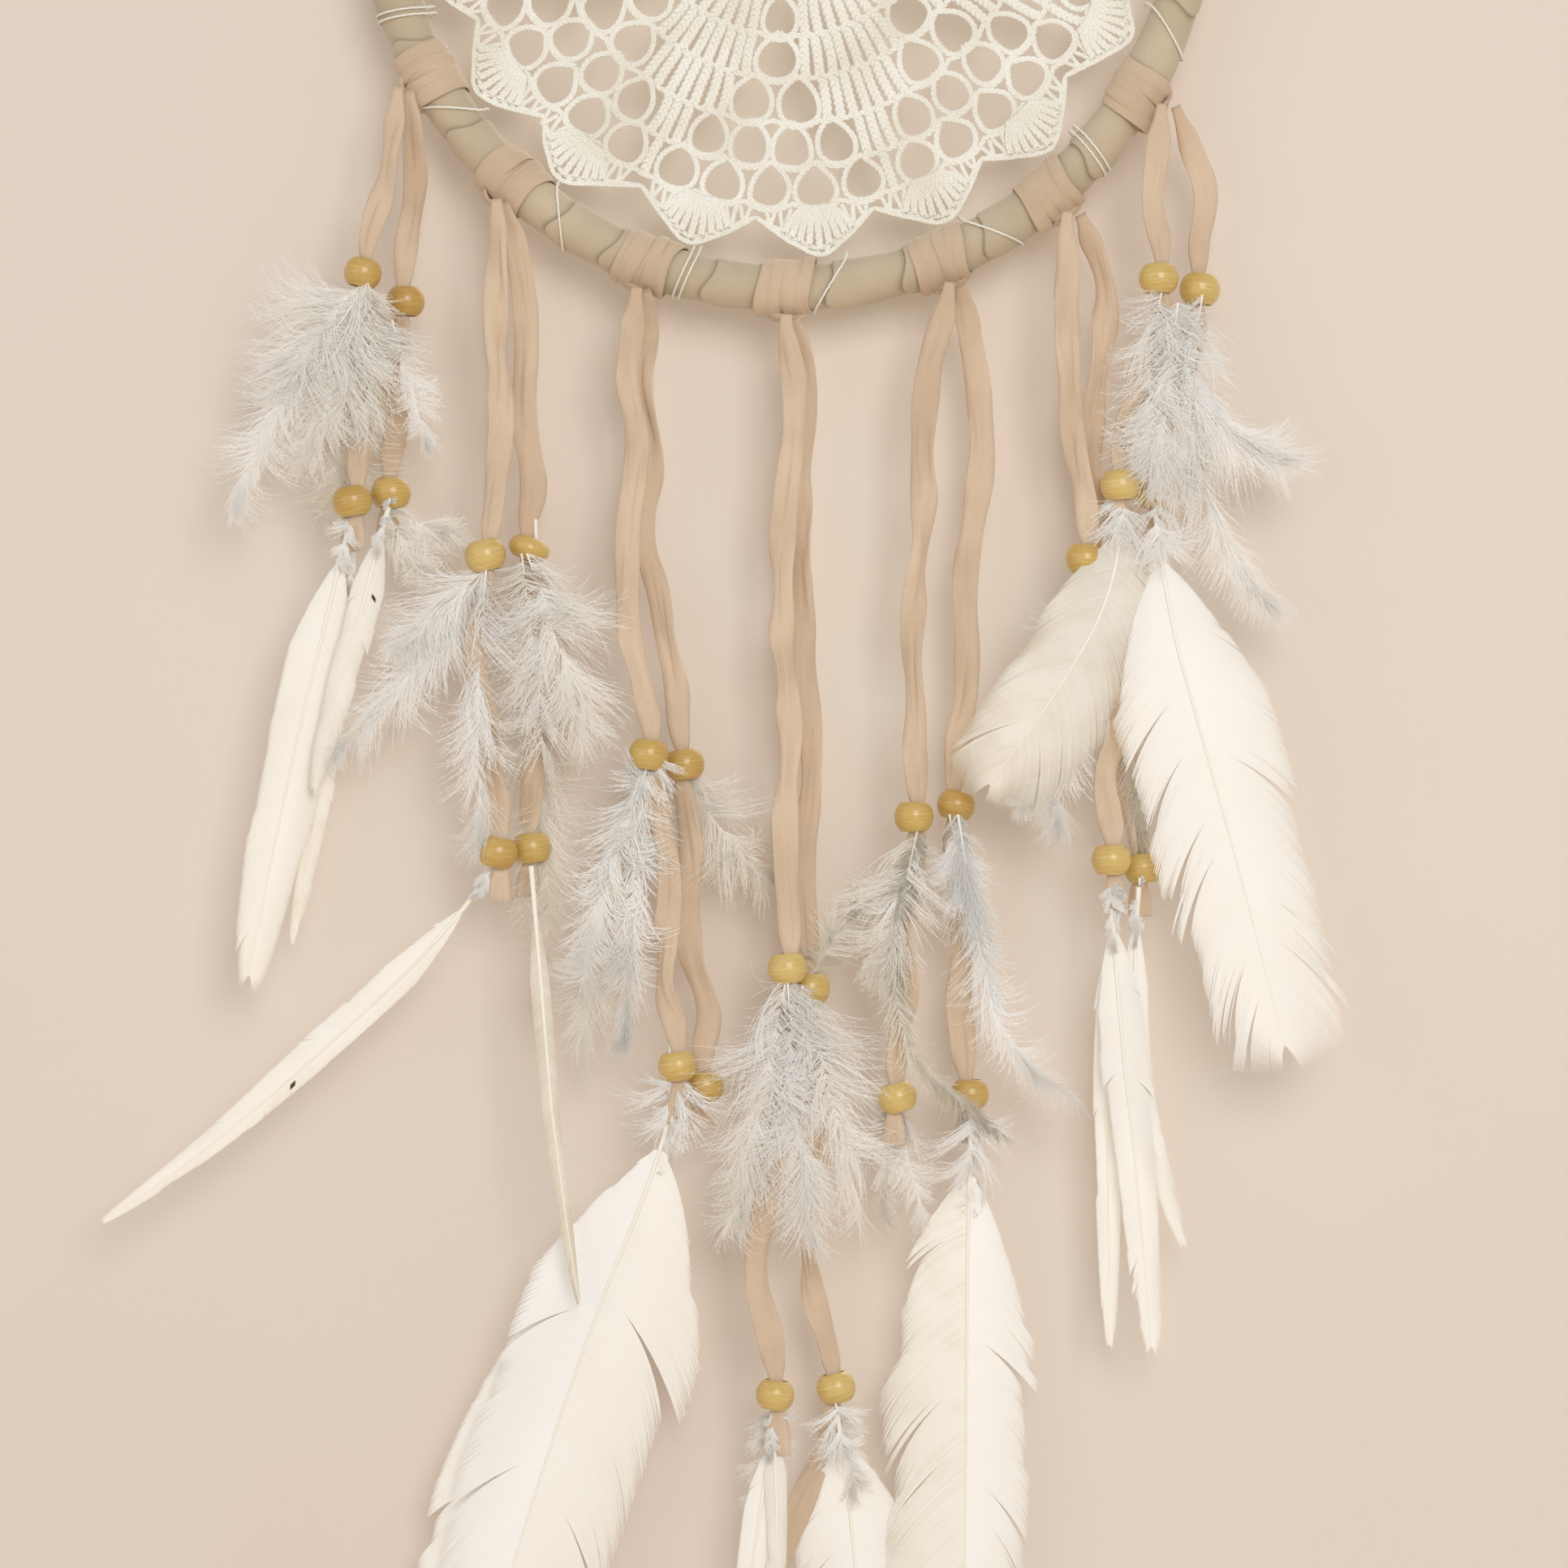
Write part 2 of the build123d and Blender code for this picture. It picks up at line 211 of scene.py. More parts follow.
aim = place(0, -0.22)
WARM_WHITE = (1.0, 0.99, 0.98)
soft_light("key", 9.2, 0.8, place(0.35, 0.3, -1.45), WARM_WHITE)
soft_light("fill", 3.2, 1.2, place(-1.1, -0.1, -1.2), (0.99, 0.99, 1.0))
soft_light("rim", 9, 0.9, place(0.5, 0.6, 1.1), (1, 1, 1))
world = bpy.data.worlds.new("studio")
world.use_nodes = True
surround = world.node_tree.nodes["Background"].inputs
surround["Color"].default_value = (*WARM_WHITE, 1)
surround["Strength"].default_value = 0.5
bpy.context.scene.world = world
bpy.context.scene.view_settings.view_transform = "Standard"
print("three soft lights and a pale surround made")

# %% [markdown]
# ## The strands' routes
# Each strand is one jersey strip: a knot on the hoop and two legs. A leg's line is a smooth NURBS curve
# through the same route as its CAD tube. Blender gives the curve's points back, and a flat ribbon with
# rolled edges is laid along them, because cut jersey curls at its edges.

# %% Routes, in metres from the hoop's centre
HINGE_R = 0.1125
TAIL_DROP = 0.0063
LEG_Y = 0.003
STRIP_IN_BORE = 0.0007
def leg_row(top, bead, side, route, low_bead, low_side, end, low_route, tail_route=()):
    """One leg's route. Side is where the quill is in a bead, and end is how far the strip hangs below it."""
    return {"top": top, "bead": bead, "side": side, "route": route, "low_bead": low_bead,
            "low_side": low_side, "end": end, "low_route": low_route, "tail_route": tail_route}


STRANDS = [
    {"knot": -61.0, "y": -.004, "legs": [
        leg_row(-.097, (-.1042, -.0976), -1,
            [(-.099, -.078), (-.1034, -.0886)],
            (-.1068, -.1536), -1, .012, [(-.1058, -.124), (-.1036, -.136), (-.106, -.147)]),
        leg_row(-.092, (-.0942, -.104), 1,
            [(-.0916, -.08), (-.095, -.094)],
            (-.0978, -.1512), 1, .011, [(-.0984, -.125), (-.0954, -.134), (-.0986, -.1445)])]},
    {"knot": -42.3, "y": -.0035, "legs": [
        leg_row(-.0705, (-.0742, -.1668), -1,
            [(-.0722, -.112), (-.0695, -.134), (-.0734, -.156)],
            (-.0712, -.2396), -1, .012,
            [(-.0772, -.188), (-.0746, -.203), (-.0726, -.218), (-.0704, -.2315)]),
        leg_row(-.067, (-.0638, -.1648), 1,
            [(-.0638, -.11), (-.0658, -.131), (-.062, -.15), (-.0646, -.16)],
            (-.0632, -.2386), 1, .012, [(-.059, -.19), (-.062, -.212), (-.064, -.231)])]},
    {"knot": -20.05, "y": -.003, "legs": [
        leg_row(-.0375, (-.0342, -.2156), -1,
            [(-.04, -.122), (-.0365, -.139), (-.0393, -.16), (-.0403, -.183), (-.0334, -.206)],
            (-.0272, -.292), -1, .014, [(-.029, -.24), (-.0294, -.258), (-.0314, -.273), (-.0264, -.2845)]),
        leg_row(-.0335, (-.0255, -.218), 1,
            [(-.0365, -.121), (-.033, -.142), (-.0353, -.163), (-.0295, -.187), (-.0263, -.208)],
            (-.0206, -.2972), 1, .011,
            [(-.0228, -.243), (-.0254, -.263), (-.0188, -.28), (-.0214, -.2905)])]},
    {"knot": -.1, "y": -.0025, "legs": [
        leg_row(-.0008, (-.0002, -.268), -1,
            [(.0028, -.13), (-.0008, -.152), (-.0022, -.178),
             (.0008, -.206), (-.0012, -.234), (.0006, -.257)],
            (-.0032, -.3726), -1, .015, [(-.0016, -.3), (-.005, -.322), (-.009, -.343), (-.0024, -.364)]),
        leg_row(.0026, (.0054, -.2732), 1,
            [(.0048, -.133), (.0024, -.157), (.0038, -.186), (.006, -.216), (.0032, -.242), (.0046, -.261)],
            (.0118, -.3716), 1, .01,
            [(.0076, -.3), (.0048, -.323), (.0046, -.346), (.011, -.3615)],
            [(.0048, -.396), (-.003, -.416)])]},
    {"knot": 21.95, "y": -.003, "legs": [
        leg_row(.0388, (.0308, -.2308), -1,
            [(.0346, -.119), (.0326, -.14), (.0338, -.161), (.0298, -.184), (.0316, -.215)],
            (.0268, -.2996), 1, .012, [(.028, -.255), (.0295, -.275), (.026, -.291)]),
        leg_row(.044, (.0414, -.228), 1,
            [(.0466, -.125), (.0486, -.143), (.043, -.169), (.0448, -.196), (.0406, -.219)],
            (.0448, -.2992), 1, .012, [(.0436, -.256), (.0414, -.274), (.044, -.291)])]},
    {"knot": 39.75, "y": -.0035, "legs": [
        leg_row(.0678, (.0728, -.1676), -1,
            [(.0686, -.118), (.0702, -.14), (.0736, -.158)],
            (.0792, -.2414), -1, .012, [(.078, -.192), (.083, -.208), (.0764, -.221), (.08, -.234)]),
        leg_row(.0748, (.0808, -.1656), 1,
            [(.0793, -.104), (.0754, -.128), (.0734, -.15), (.0801, -.159)],
            (.0874, -.2435), 1, .012, [(.0836, -.192), (.0816, -.212), (.0866, -.235)])]},
    {"knot": 58.45, "y": -.004, "legs": [
        leg_row(.091, (.0908, -.099), -1,
            [(.089, -.08), (.0916, -.09)],
            (.0814, -.1496), 1, .0075, [(.0898, -.12), (.084, -.131), (.0806, -.142)]),
        leg_row(.099, (.1014, -.101), 1,
            [(.104, -.078), (.1006, -.092)],
            (.0906, -.1515), 1, .012, [(.0984, -.121), (.092, -.132), (.0898, -.144)])]},
]
LEG_SIDES = (-1, 1)


def hinge_height(strand):
    nearest = min(abs(leg["top"]) for leg in strand["legs"])
    return -math.sqrt(HINGE_R**2 - nearest**2)


def tail_hinge_height(strand):
    return min(leg["bead"][1] for leg in strand["legs"]) - TAIL_DROP


print(f"{len(STRANDS)} strands")


# %% Lines and meshes
def read_line(points, steps=14):
    """The points of a smooth NURBS line, read back from Blender."""
    curve = bpy.data.curves.new("route", "CURVE")
    curve.dimensions = "3D"
    curve.resolution_u = steps
    spline = curve.splines.new("NURBS")
    spline.points.add(len(points) - 1)
    for spot, point in zip(spline.points, points):
        spot.co = (point[0], point[1], point[2], 1)
    spline.order_u = 3
    spline.use_endpoint_u = True
    holder = bpy.data.objects.new("route", curve)
    mesh = bpy.data.meshes.new_from_object(holder)
    line = np.array([v.co for v in mesh.vertices], float)
    bpy.data.objects.remove(holder)
    bpy.data.curves.remove(curve)
    bpy.data.meshes.remove(mesh)
    return line


def distances(line):
    """How far along the line each of its points is."""
    return np.concatenate([[0], np.cumsum(np.linalg.norm(np.diff(line, axis=0), axis=1))])


def at_distances(values, s, spots):
    """The values at some distances along a line, between those at its points."""
    return np.stack([np.interp(spots, s, values[:, k]) for k in range(3)], -1)


def unit(vectors):
    return vectors / np.maximum(np.linalg.norm(vectors, axis=-1, keepdims=True), 1e-12)


def directions(line, facing):
    """Along, side and face directions at each point of a line."""
    along = unit(np.gradient(line, axis=-2))
    side = unit(np.cross(along, facing))
    return along, side, np.cross(side, along)


def make_mesh(name, points, faces, material, uv=None, **attributes):
    """A smooth mesh object from arrays. Faces is a list of index arrays with three or four columns."""
    faces = [f for f in faces if len(f)]
    sizes = np.concatenate([np.full(len(f), f.shape[1]) for f in faces])
    corners = np.concatenate([f.ravel() for f in faces]).astype(np.int32)
    mesh = bpy.data.meshes.new(name)
    mesh.vertices.add(len(points))
    mesh.vertices.foreach_set("co", np.asarray(points, np.float32).ravel())
    mesh.loops.add(len(corners))
    mesh.loops.foreach_set("vertex_index", corners)
    mesh.polygons.add(len(sizes))
    mesh.polygons.foreach_set("loop_start", (np.cumsum(sizes) - sizes).astype(np.int32))
    mesh.update(calc_edges=True)
    mesh.polygons.foreach_set("use_smooth", np.ones(len(sizes), bool))
    if uv is not None:
        layer = mesh.uv_layers.new(name="UVMap")
        layer.data.foreach_set("uv", np.asarray(uv, np.float32)[corners].ravel())
    for label, values in attributes.items():
        layer = mesh.attributes.new(label, "FLOAT", "POINT")
        layer.data.foreach_set("value", np.asarray(values, np.float32))
    mesh.materials.append(material)
    piece = bpy.data.objects.new(name, mesh)
    bpy.context.scene.collection.objects.link(piece)
    return piece


def stand_for(piece, node, body=None):
    """The piece stands in for a CAD node, whose solid is hidden, and moves with a body if one is named."""
    if body:
        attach(piece, body)
    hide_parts(node)


def skin(rows, ring, closed_rows=False):
    """Faces between rows of points, each row a ring of the same number of points."""
    a = np.arange(rows if closed_rows else rows - 1)[:, None] * ring
    b = np.arange(ring)[None, :]
    next_a = (a + ring) % (rows * ring)
    next_b = (b + 1) % ring
    return np.stack([a + b, a + next_b, next_a + next_b, next_a + b], -1).reshape(-1, 4)


def ripple(along, wavelength, rng):
    """A gentle random wave from -1 to 1."""
    total = np.zeros_like(along)
    for share in (0.5, 0.3, 0.2):
        turns = along / wavelength / (0.45 + share + 0.5 * rng.random())
        total += share * np.sin(2 * np.pi * turns + 6.3 * rng.random())
    return total


# %% A ribbon with rolled edges
ACROSS = 21
MIDDLE = 10
GATHER_REACH = 0.0062
CREASES = (1.3, 1.0, 0.8)


def ribbon(name, line, width, material, seed, facing=(0, -1, 0), thick=0.0007, roll=0.55,
           lean=0.85, tight=(), closed=False):
    """A jersey strip along a line. It rolls up where it goes through the points in tight."""
    rng = np.random.default_rng(seed)
    s = distances(line)
    period = s[-1] if closed else 0.035
    gather = np.zeros(len(line))
    for point in tight:
        away = np.linalg.norm(line - np.array(point), axis=1)
        gather = np.maximum(gather, np.exp(-(away / GATHER_REACH) ** 2))
    u = np.linspace(-1, 1, ACROSS)
    edge = np.clip((np.abs(u) - 0.35) / 0.65, 0, 1) ** 1.3
    left, right = [roll * (0.9 + 2.6 * ripple(s, period, rng)) * (1 - gather) + 2.6 * gather
                   for _ in range(2)]
    angle = right[:, None] * (edge * (u > 0)) - left[:, None] * (edge * (u < 0))
    for strength in CREASES:
        crease = 0.55 * ripple(s, 0.09, rng) + rng.uniform(-0.3, 0.3)
        fold = strength * ripple(s, 0.05, rng) * (1 - gather)
        angle = angle + fold[:, None] * np.exp(-((u[None] - crease[:, None]) / 0.13) ** 2)
    step = u[1] - u[0]
    x = np.cumsum(np.cos(angle), 1) * step
    y = np.cumsum(np.sin(angle), 1) * step
    x = x - x[:, [MIDDLE]]
    y = y - y[:, [MIDDLE]]
    half = width / 2 * (1 - 0.5 * gather) * (1 + 0.08 * ripple(s, 0.02, rng))
    x = x * half[:, None]
    y = y * half[:, None] - 0.2 * width * gather[:, None]
    lift = thick / 2 * (1 - 0.35 * np.abs(u) ** 4)
    out_x, out_y = np.sin(angle) * lift, np.cos(angle) * lift
    ring_x = np.concatenate([x + out_x, (x - out_x)[:, ::-1]], 1)
    ring_y = np.concatenate([y - out_y, (y + out_y)[:, ::-1]], 1)
    tilt = lean * ripple(s, period * 1.4, rng) * (1 - gather)
    cos_t, sin_t = np.cos(tilt)[:, None], np.sin(tilt)[:, None]
    ring_x, ring_y = ring_x * cos_t - ring_y * sin_t, ring_x * sin_t + ring_y * cos_t
    _, side, face = directions(line, np.array(facing, float))
    points = line[:, None] + side[:, None] * ring_x[..., None] - face[:, None] * ring_y[..., None]
    ring = ring_x.shape[1]
    uv_across = np.concatenate([u, u[::-1]]) * width / 2
    uv = np.stack(np.broadcast_arrays(uv_across[None], s[:, None]), -1).reshape(-1, 2)
    faces = [skin(len(line), ring, closed_rows=closed)]
    if not closed:
        cap = np.arange(ACROSS - 1)[:, None]
        strip_cap = np.concatenate([cap, ring - 1 - cap, ring - 2 - cap, cap + 1], 1)
        faces += [strip_cap[:, ::-1], strip_cap + (len(line) - 1) * ring]
    return make_mesh(name, points.reshape(-1, 3), faces, material, uv)


# %% [markdown]
# ## Jersey
# The strips are cut from a thin knitted jersey in a blush beige. Its fine ribs run along the strip, so the
# pattern reads the ribbon's own UV map, which is in metres. A slow noise gives the faded patches.

# %% The jersey materials
def jersey(name, dark, light):
    material, tree, shader = new_material(name, light, 0.88, Sheen_Weight=0.25, Sheen_Roughness=0.5)
    around = coordinates(tree)
    patches = noise(tree, 42.0, 3.0, around)
    fibres = noise(tree, 1400.0, 3.0, around)
    waves = {"Vector": coordinates(tree, "UV"), "Scale": 420.0, "Distortion": 1.2, "Detail": 1.0}
    ribs = add_node(tree, "TexWave", waves).outputs["Fac"]
    blend = arithmetic(tree, "ADD", patches, arithmetic(tree, "MULTIPLY", fibres, 0.22))
    paint(tree, shader, ramp(tree, blend, (0.4, dark), (0.82, light)))
    bump(tree, shader, arithmetic(tree, "ADD", ribs, fibres), 0.00007, 0.4)
    return material


blush_jersey = jersey("blush_jersey", colour(205, 180, 153), colour(223, 200, 174))
knot_jersey = jersey("knot_jersey", colour(198, 174, 147), colour(216, 193, 166))
khaki_jersey = jersey("khaki_jersey", colour(188, 172, 146), colour(208, 191, 165))
print("jersey made in three colours")

# %% [markdown]
# ## The hanging loop and the legs
# These are free cords, so they come before everything else. An upper leg runs from its knot into its
# bead, and a lower leg from that bead to its trimmed end.

# %% The hanging loop
LOOP_ROUTE = [(-.0019, -.086), (-.0034, -.06), (-.0044, -.03), (-.004, .0015),
              (.004, .0015), (.0044, -.03), (.0034, -.06), (.0019, -.086)]
STRIP_WIDTH = 0.0065
loop_line = read_line([(x, 0.0, z) for x, z in LOOP_ROUTE], 20)
loop_middle = np.array([0.0, 0.0, -0.04])
loop_facing = unit(loop_line - loop_middle)
loop_facing[:, 1] = 0
loop = ribbon("loop_strip", loop_line, STRIP_WIDTH, blush_jersey, 1, facing=loop_facing,
              roll=0.9, lean=0.3)
stand_for(loop, "hanging_loop", "hanging_loop")
print(f"hanging loop {distances(loop_line)[-1]:.3f} m")

# %% The fourteen upper and fourteen lower legs
KNOT_FRONT = 0.1075
SHORT_WIDTH = 0.006


def leg_lines(strand, leg, side):
    """The lines of a leg's upper and lower strips."""
    y = strand["y"] + side * LEG_Y
    top_z, low_z = hinge_height(strand), tail_hinge_height(strand)
    turn = math.radians(strand["knot"])
    knot_x = KNOT_FRONT * math.sin(turn)
    knot_x = knot_x + 0.45 * (leg["top"] - knot_x)
    bead_x, bead_z = leg["bead"]
    strip_x = bead_x - leg["side"] * STRIP_IN_BORE
    upper = [(knot_x, -KNOT_FRONT * math.cos(turn), min(y, -0.0065) if side < 0 else -0.004),
             (leg["top"], top_z, y)]
    upper += [(x, z, y) for x, z in leg["route"]] + [(strip_x, bead_z, y)]
    low_x, low_bead_z = leg["low_bead"]
    low_strip_x = low_x - leg["low_side"] * STRIP_IN_BORE
    lower = [(strip_x, bead_z - 0.001, y), (strip_x, low_z, y)]
    lower += [(x, z, y) for x, z in leg["low_route"]]
    lower += [(low_strip_x, low_bead_z - leg["end"], y)] + [(x, z, y) for x, z in leg["tail_route"]]
    return [read_line([place(x, z, depth) for x, z, depth in points]) for points in (upper, lower)]


for number, strand in enumerate(STRANDS, start=1):
    for leg, side in zip(strand["legs"], LEG_SIDES):
        y = strand["y"] + side * LEG_Y
        upper_line, lower_line = leg_lines(strand, leg, side)
        bead_spot, low_spot = place(*leg["bead"], y), place(*leg["low_bead"], y)
        width = SHORT_WIDTH if number in (1, 7) else STRIP_WIDTH
        label = f"{number}_{'front' if side < 0 else 'back'}"
        upper = ribbon(f"strip_{label}", upper_line, width, blush_jersey, 10 * number + side,
                       tight=[bead_spot, upper_line[0]])
        lower = ribbon(f"low_strip_{label}", lower_line, width, blush_jersey, 10 * number + side + 5,
                       tight=[bead_spot, low_spot])
        top = place(0, hinge_height(strand), strand["y"])
        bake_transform(upper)
        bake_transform(lower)
        for piece, line, node, end in ((upper, upper_line, f"strand_{number}_strips", "object"),
                                       (lower, lower_line, f"tail_{number}_strips", "bare")):
            stand_for(piece, node)
    lengths = [round(float(distances(line)[-1]), 4) for line in (upper_line, lower_line)]
    print(f"strand {number}: its back leg is {lengths[0]} m, then {lengths[1]} m")

# %% [markdown]
# ## The wrapped hoop
# A khaki jersey strip is wound round the hoop at a slant, each turn lapping the last. A torus would be
# smooth all over, so the skin is drawn turn by turn: its height is low at one edge of the strip and steps
# up over the next. The step runs round the tube as it goes along it, so the seams slant as the real ones do.

# %% The wrap
RING_R = 0.1005
TURNS = 44
STEPS_IN_TURN = [(0.0, -0.05), (0.012, 0.42), (0.035, 0.6), (0.1, 0.56), (0.25, 0.43), (0.42, 0.32),
                 (0.6, 0.21), (0.78, 0.1), (0.92, 0.0), (0.985, -0.08)]


WRAP_R = 0.00545
WRAP_COLUMNS = 40
# Painted shade: how strongly the wrap's colour is darkened at each step across a turn, most where one turn
# laps down onto the next.
SEAM_SHADE_IN_TURN = [0.75, 0.3, 0, 0, 0, 0, 0, 0, 0.05, 0.45]


def wound_skin(name, material):
    rng = np.random.default_rng(4)
    share, height = np.array(STEPS_IN_TURN).T
    height = height * MM
    width_change = 0.16 * rng.standard_normal(TURNS)
    starts = np.arange(TURNS) + width_change - width_change.mean()
    ends = np.append(starts[1:], starts[0] + TURNS)
    rows = (starts[:, None] + share * (ends - starts)[:, None]).ravel()
    rise = np.tile(height, TURNS) * np.repeat(0.75 + 0.5 * rng.random(TURNS), len(share))
    around = np.arange(WRAP_COLUMNS) / WRAP_COLUMNS
    slant = 0.42 * np.sin(2 * np.pi * around) + 0.18 * np.sin(4 * np.pi * around + 1)
    angle = (rows[:, None] - slant) / TURNS * 2 * np.pi
    pucker = 0.05 * MM * np.sin(2 * np.pi * (5 * around[None] + rows[:, None] * 2.7))
    tube = WRAP_R + rise[:, None] + pucker
    phase = 2 * np.pi * around[None]
    out = RING_R + tube * np.cos(phase)
    points = np.stack([HOOP.x + out * np.sin(angle), HOOP.y - tube * np.sin(phase) + 0 * angle,
                       HOOP.z - out * np.cos(angle)], -1)
    uv = np.stack([np.broadcast_to(around * 0.036, angle.shape), angle * RING_R], -1)
    faces = skin(len(rows), WRAP_COLUMNS, closed_rows=True)
    return make_mesh(name, points.reshape(-1, 3), [faces[:, ::-1]], material, uv.reshape(-1, 2),
                     seam=np.repeat(np.tile(SEAM_SHADE_IN_TURN, TURNS), WRAP_COLUMNS))


tree = khaki_jersey.node_tree
shader = tree.nodes["Principled BSDF"]
# Painted shade: the khaki jersey is mixed towards a dark brown along each seam, where the lapping turn's edge
# would shade the one beneath.
seam = add_node(tree, "Attribute", attribute_name="seam")
cloth = shader.inputs["Base Color"].links[0].from_socket
shadow = add_node(tree, "MixRGB", {0: seam.outputs["Fac"], 1: cloth, 2: colour(142, 123, 97)})
paint(tree, shader, shadow.outputs[0])
wrap = wound_skin("wound_wrap", khaki_jersey)
stand_for(wrap, "hoop_wrap", "hoop")
rattan, tree, shader = new_material("rattan", colour(176, 138, 92), 0.6)
grain = noise(tree, 260.0, 5.0)
paint(tree, shader, ramp(tree, grain, (0.3, colour(140, 102, 62)), (0.7, colour(196, 160, 112))))
bump(tree, shader, grain, 0.0002)
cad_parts["hoop_core"].data.materials.clear()
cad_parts["hoop_core"].data.materials.append(rattan)
print(f"wrap of {TURNS} turns, {len(wrap.data.polygons)} faces")

# %% [markdown]
# ## The knots
# Each strip is folded in two and looped round the hoop as a lark's head: turns side by side, and a fold,
# the bight, that crosses their front. The turns and the bight are ribbons of the same jersey. An eighth
# knot and a collar tie the hanging loop.

# %% Knots
def hoop_axes(degrees):
    """Outwards, forwards and along the hoop at an angle from straight down."""
    turn = math.radians(degrees)
    outwards = np.array([math.sin(turn), 0, -math.cos(turn)])
    forwards = np.array([0, -1.0, 0])
    return outwards, forwards, np.cross(outwards, forwards)


def around_tube(degrees, phases, radii, shifts):
    """Points round the wrapped tube, and which way out of the tube each one faces."""
    outwards, forwards, beside = hoop_axes(degrees)
    out = np.cos(phases)[:, None] * outwards + np.sin(phases)[:, None] * forwards
    centre = np.array(HOOP) + outwards * RING_R
    return centre + out * np.array(radii)[:, None] + np.array(shifts)[:, None] * beside, out


KNOT_WIDTH = 0.0063
KNOT_STEP = 0.0036
KNOT_R = 0.00658


def make_knot(name, degrees, body, node, seed):
    rng = np.random.default_rng(seed)
    pieces = []
    phases = np.linspace(0, 2 * np.pi, 37)[:-1]
    for shift in (-1, 0, 1):
        slant = 0.0012 * np.sin(phases + 0.6) + 0.0004 * np.sin(2 * phases + rng.uniform(0, 6))
        radii = KNOT_R + 0.0001 * abs(shift) + 0.00008 * np.sin(3 * phases + shift)
        line, out = around_tube(degrees, phases, radii, shift * KNOT_STEP + slant)
        pieces.append(ribbon(f"{name}_turn_{shift + 1}", line, KNOT_WIDTH, knot_jersey, seed + shift,
                             facing=out, roll=0.1, lean=0.05, closed=True))
    spread = np.linspace(-1, 1, 15)
    phases = np.radians(4 + rng.uniform(6, 16) * spread)
    radii = 0.0076 - 0.0010 * spread**4
    line, out = around_tube(degrees, phases, radii, 0.0040 * spread)
    pieces.append(ribbon(f"{name}_fold", line, 0.0050, knot_jersey, seed + 7, facing=out,
                         thick=0.0009, roll=0.9, lean=0.15))
    for piece in pieces:
        stand_for(piece, node, body)


for number, strand in enumerate(STRANDS, start=1):
    make_knot(f"lark_{number}", strand["knot"], "hoop", f"knot_{number}", 60 + number)
make_knot("lark_top", 180, "top_knot", "top_knot", 80)
COLLAR_R = 0.0031
turn = np.linspace(0, 2 * np.pi, 33)[:-1]
collar_line = np.stack([COLLAR_R * np.cos(turn), COLLAR_R * np.sin(turn),
                        HOOP.z + 0.1105 + 0.0004 * np.sin(turn)], -1)
collar_out = np.stack([np.cos(turn), np.sin(turn), 0 * turn], -1)
collar = ribbon("top_collar", collar_line, 0.0058, knot_jersey, 91, facing=collar_out,
                roll=0.6, lean=0.1, closed=True)
stand_for(collar, "top_knot", "top_knot")
print("eight knots made")

# %% [markdown]
# ## The crochet web
# The lace is cotton yarn worked in rounds: wedges of close bars, a mesh of open cells between them, and
# eighteen fans at the edge. Crochet looks like a small plait, so each run of yarn is three strands that
# cross over in turn, laid along the pattern's lines. The lines come from the pattern's own rules.

# %% Plaited yarn
YARN_STEP = 0.0007
NEARLY_FRONT = np.array([0.02, -1, 0.01])
SQUARE = [(0.9, 0.9), (-0.9, 0.9), (-0.9, -0.9), (0.9, -0.9)]


def yarn(name, paths, material, half_width, pitch, seed):
    """Plaits of three strands along many lines of points, as one mesh."""
    rng = np.random.default_rng(seed)
    points, faces, uvs, used = [], [], [], 0
    for path in paths:
        path = np.array(path, float)
        s = distances(path)
        count = max(4, int(s[-1] / YARN_STEP))
        at = np.linspace(0, s[-1], count)
        line = at_distances(path, s, at)
        _, side, face = directions(line, NEARLY_FRONT)
        for strand in range(3):
            turn = 2 * np.pi * (at / pitch + strand / 3 + rng.random() * 0.05)
            centre = line + side * (half_width * np.sin(turn))[:, None]
            centre = centre + face * (0.42 * half_width * np.sin(2 * turn))[:, None]
            _, across, up = directions(centre, NEARLY_FRONT)
            thick = 0.62 * half_width * (1 + 0.15 * rng.random())
            tube = np.stack([centre + thick * (a * across + b * up) for a, b in SQUARE], 1)
            points.append(tube.reshape(-1, 3))
            faces.append(skin(count, 4) + used)
            uvs.append(np.stack(np.broadcast_arrays(np.arange(4)[None] / 4, at[:, None]), -1).reshape(-1, 2))
            used += count * 4
    return make_mesh(name, np.concatenate(points), [np.concatenate(faces)], material, np.concatenate(uvs))


cotton, tree, shader = new_material("cotton", colour(240, 234, 216), 0.9, Sheen_Weight=0.15)
slow = noise(tree, 60.0, 3.0)
paint(tree, shader, ramp(tree, slow, (0.3, colour(240, 235, 219)), (0.65, colour(252, 250, 241))))
bump(tree, shader, noise(tree, 2200.0, 2.0), 0.0001, 0.7)


# %% The pattern's lines
SECTORS = 8
SECTOR = 360 / SECTORS
FIRST_WEDGE = -26.0
CELL_POINTS = 12
ROUND_RADII = [0.029, 0.039, 0.0495, 0.0605, 0.071, 0.081]
BARS = [6, 8, 7, 3, 1]
CELLS = [1, 1, 2, 4, 5]
BAR_STEP = 0.0032
WEB_Y = -0.002
lace = np.random.default_rng(11)


def polar(radius, degrees, lift=0.0):
    turn = np.radians(degrees)
    return np.stack(np.broadcast_arrays(HOOP.x + radius * np.sin(turn), HOOP.y + WEB_Y + lift,
                                        HOOP.z - radius * np.cos(turn)), -1)


def loose(amount=0.0003):
    return amount * lace.standard_normal()


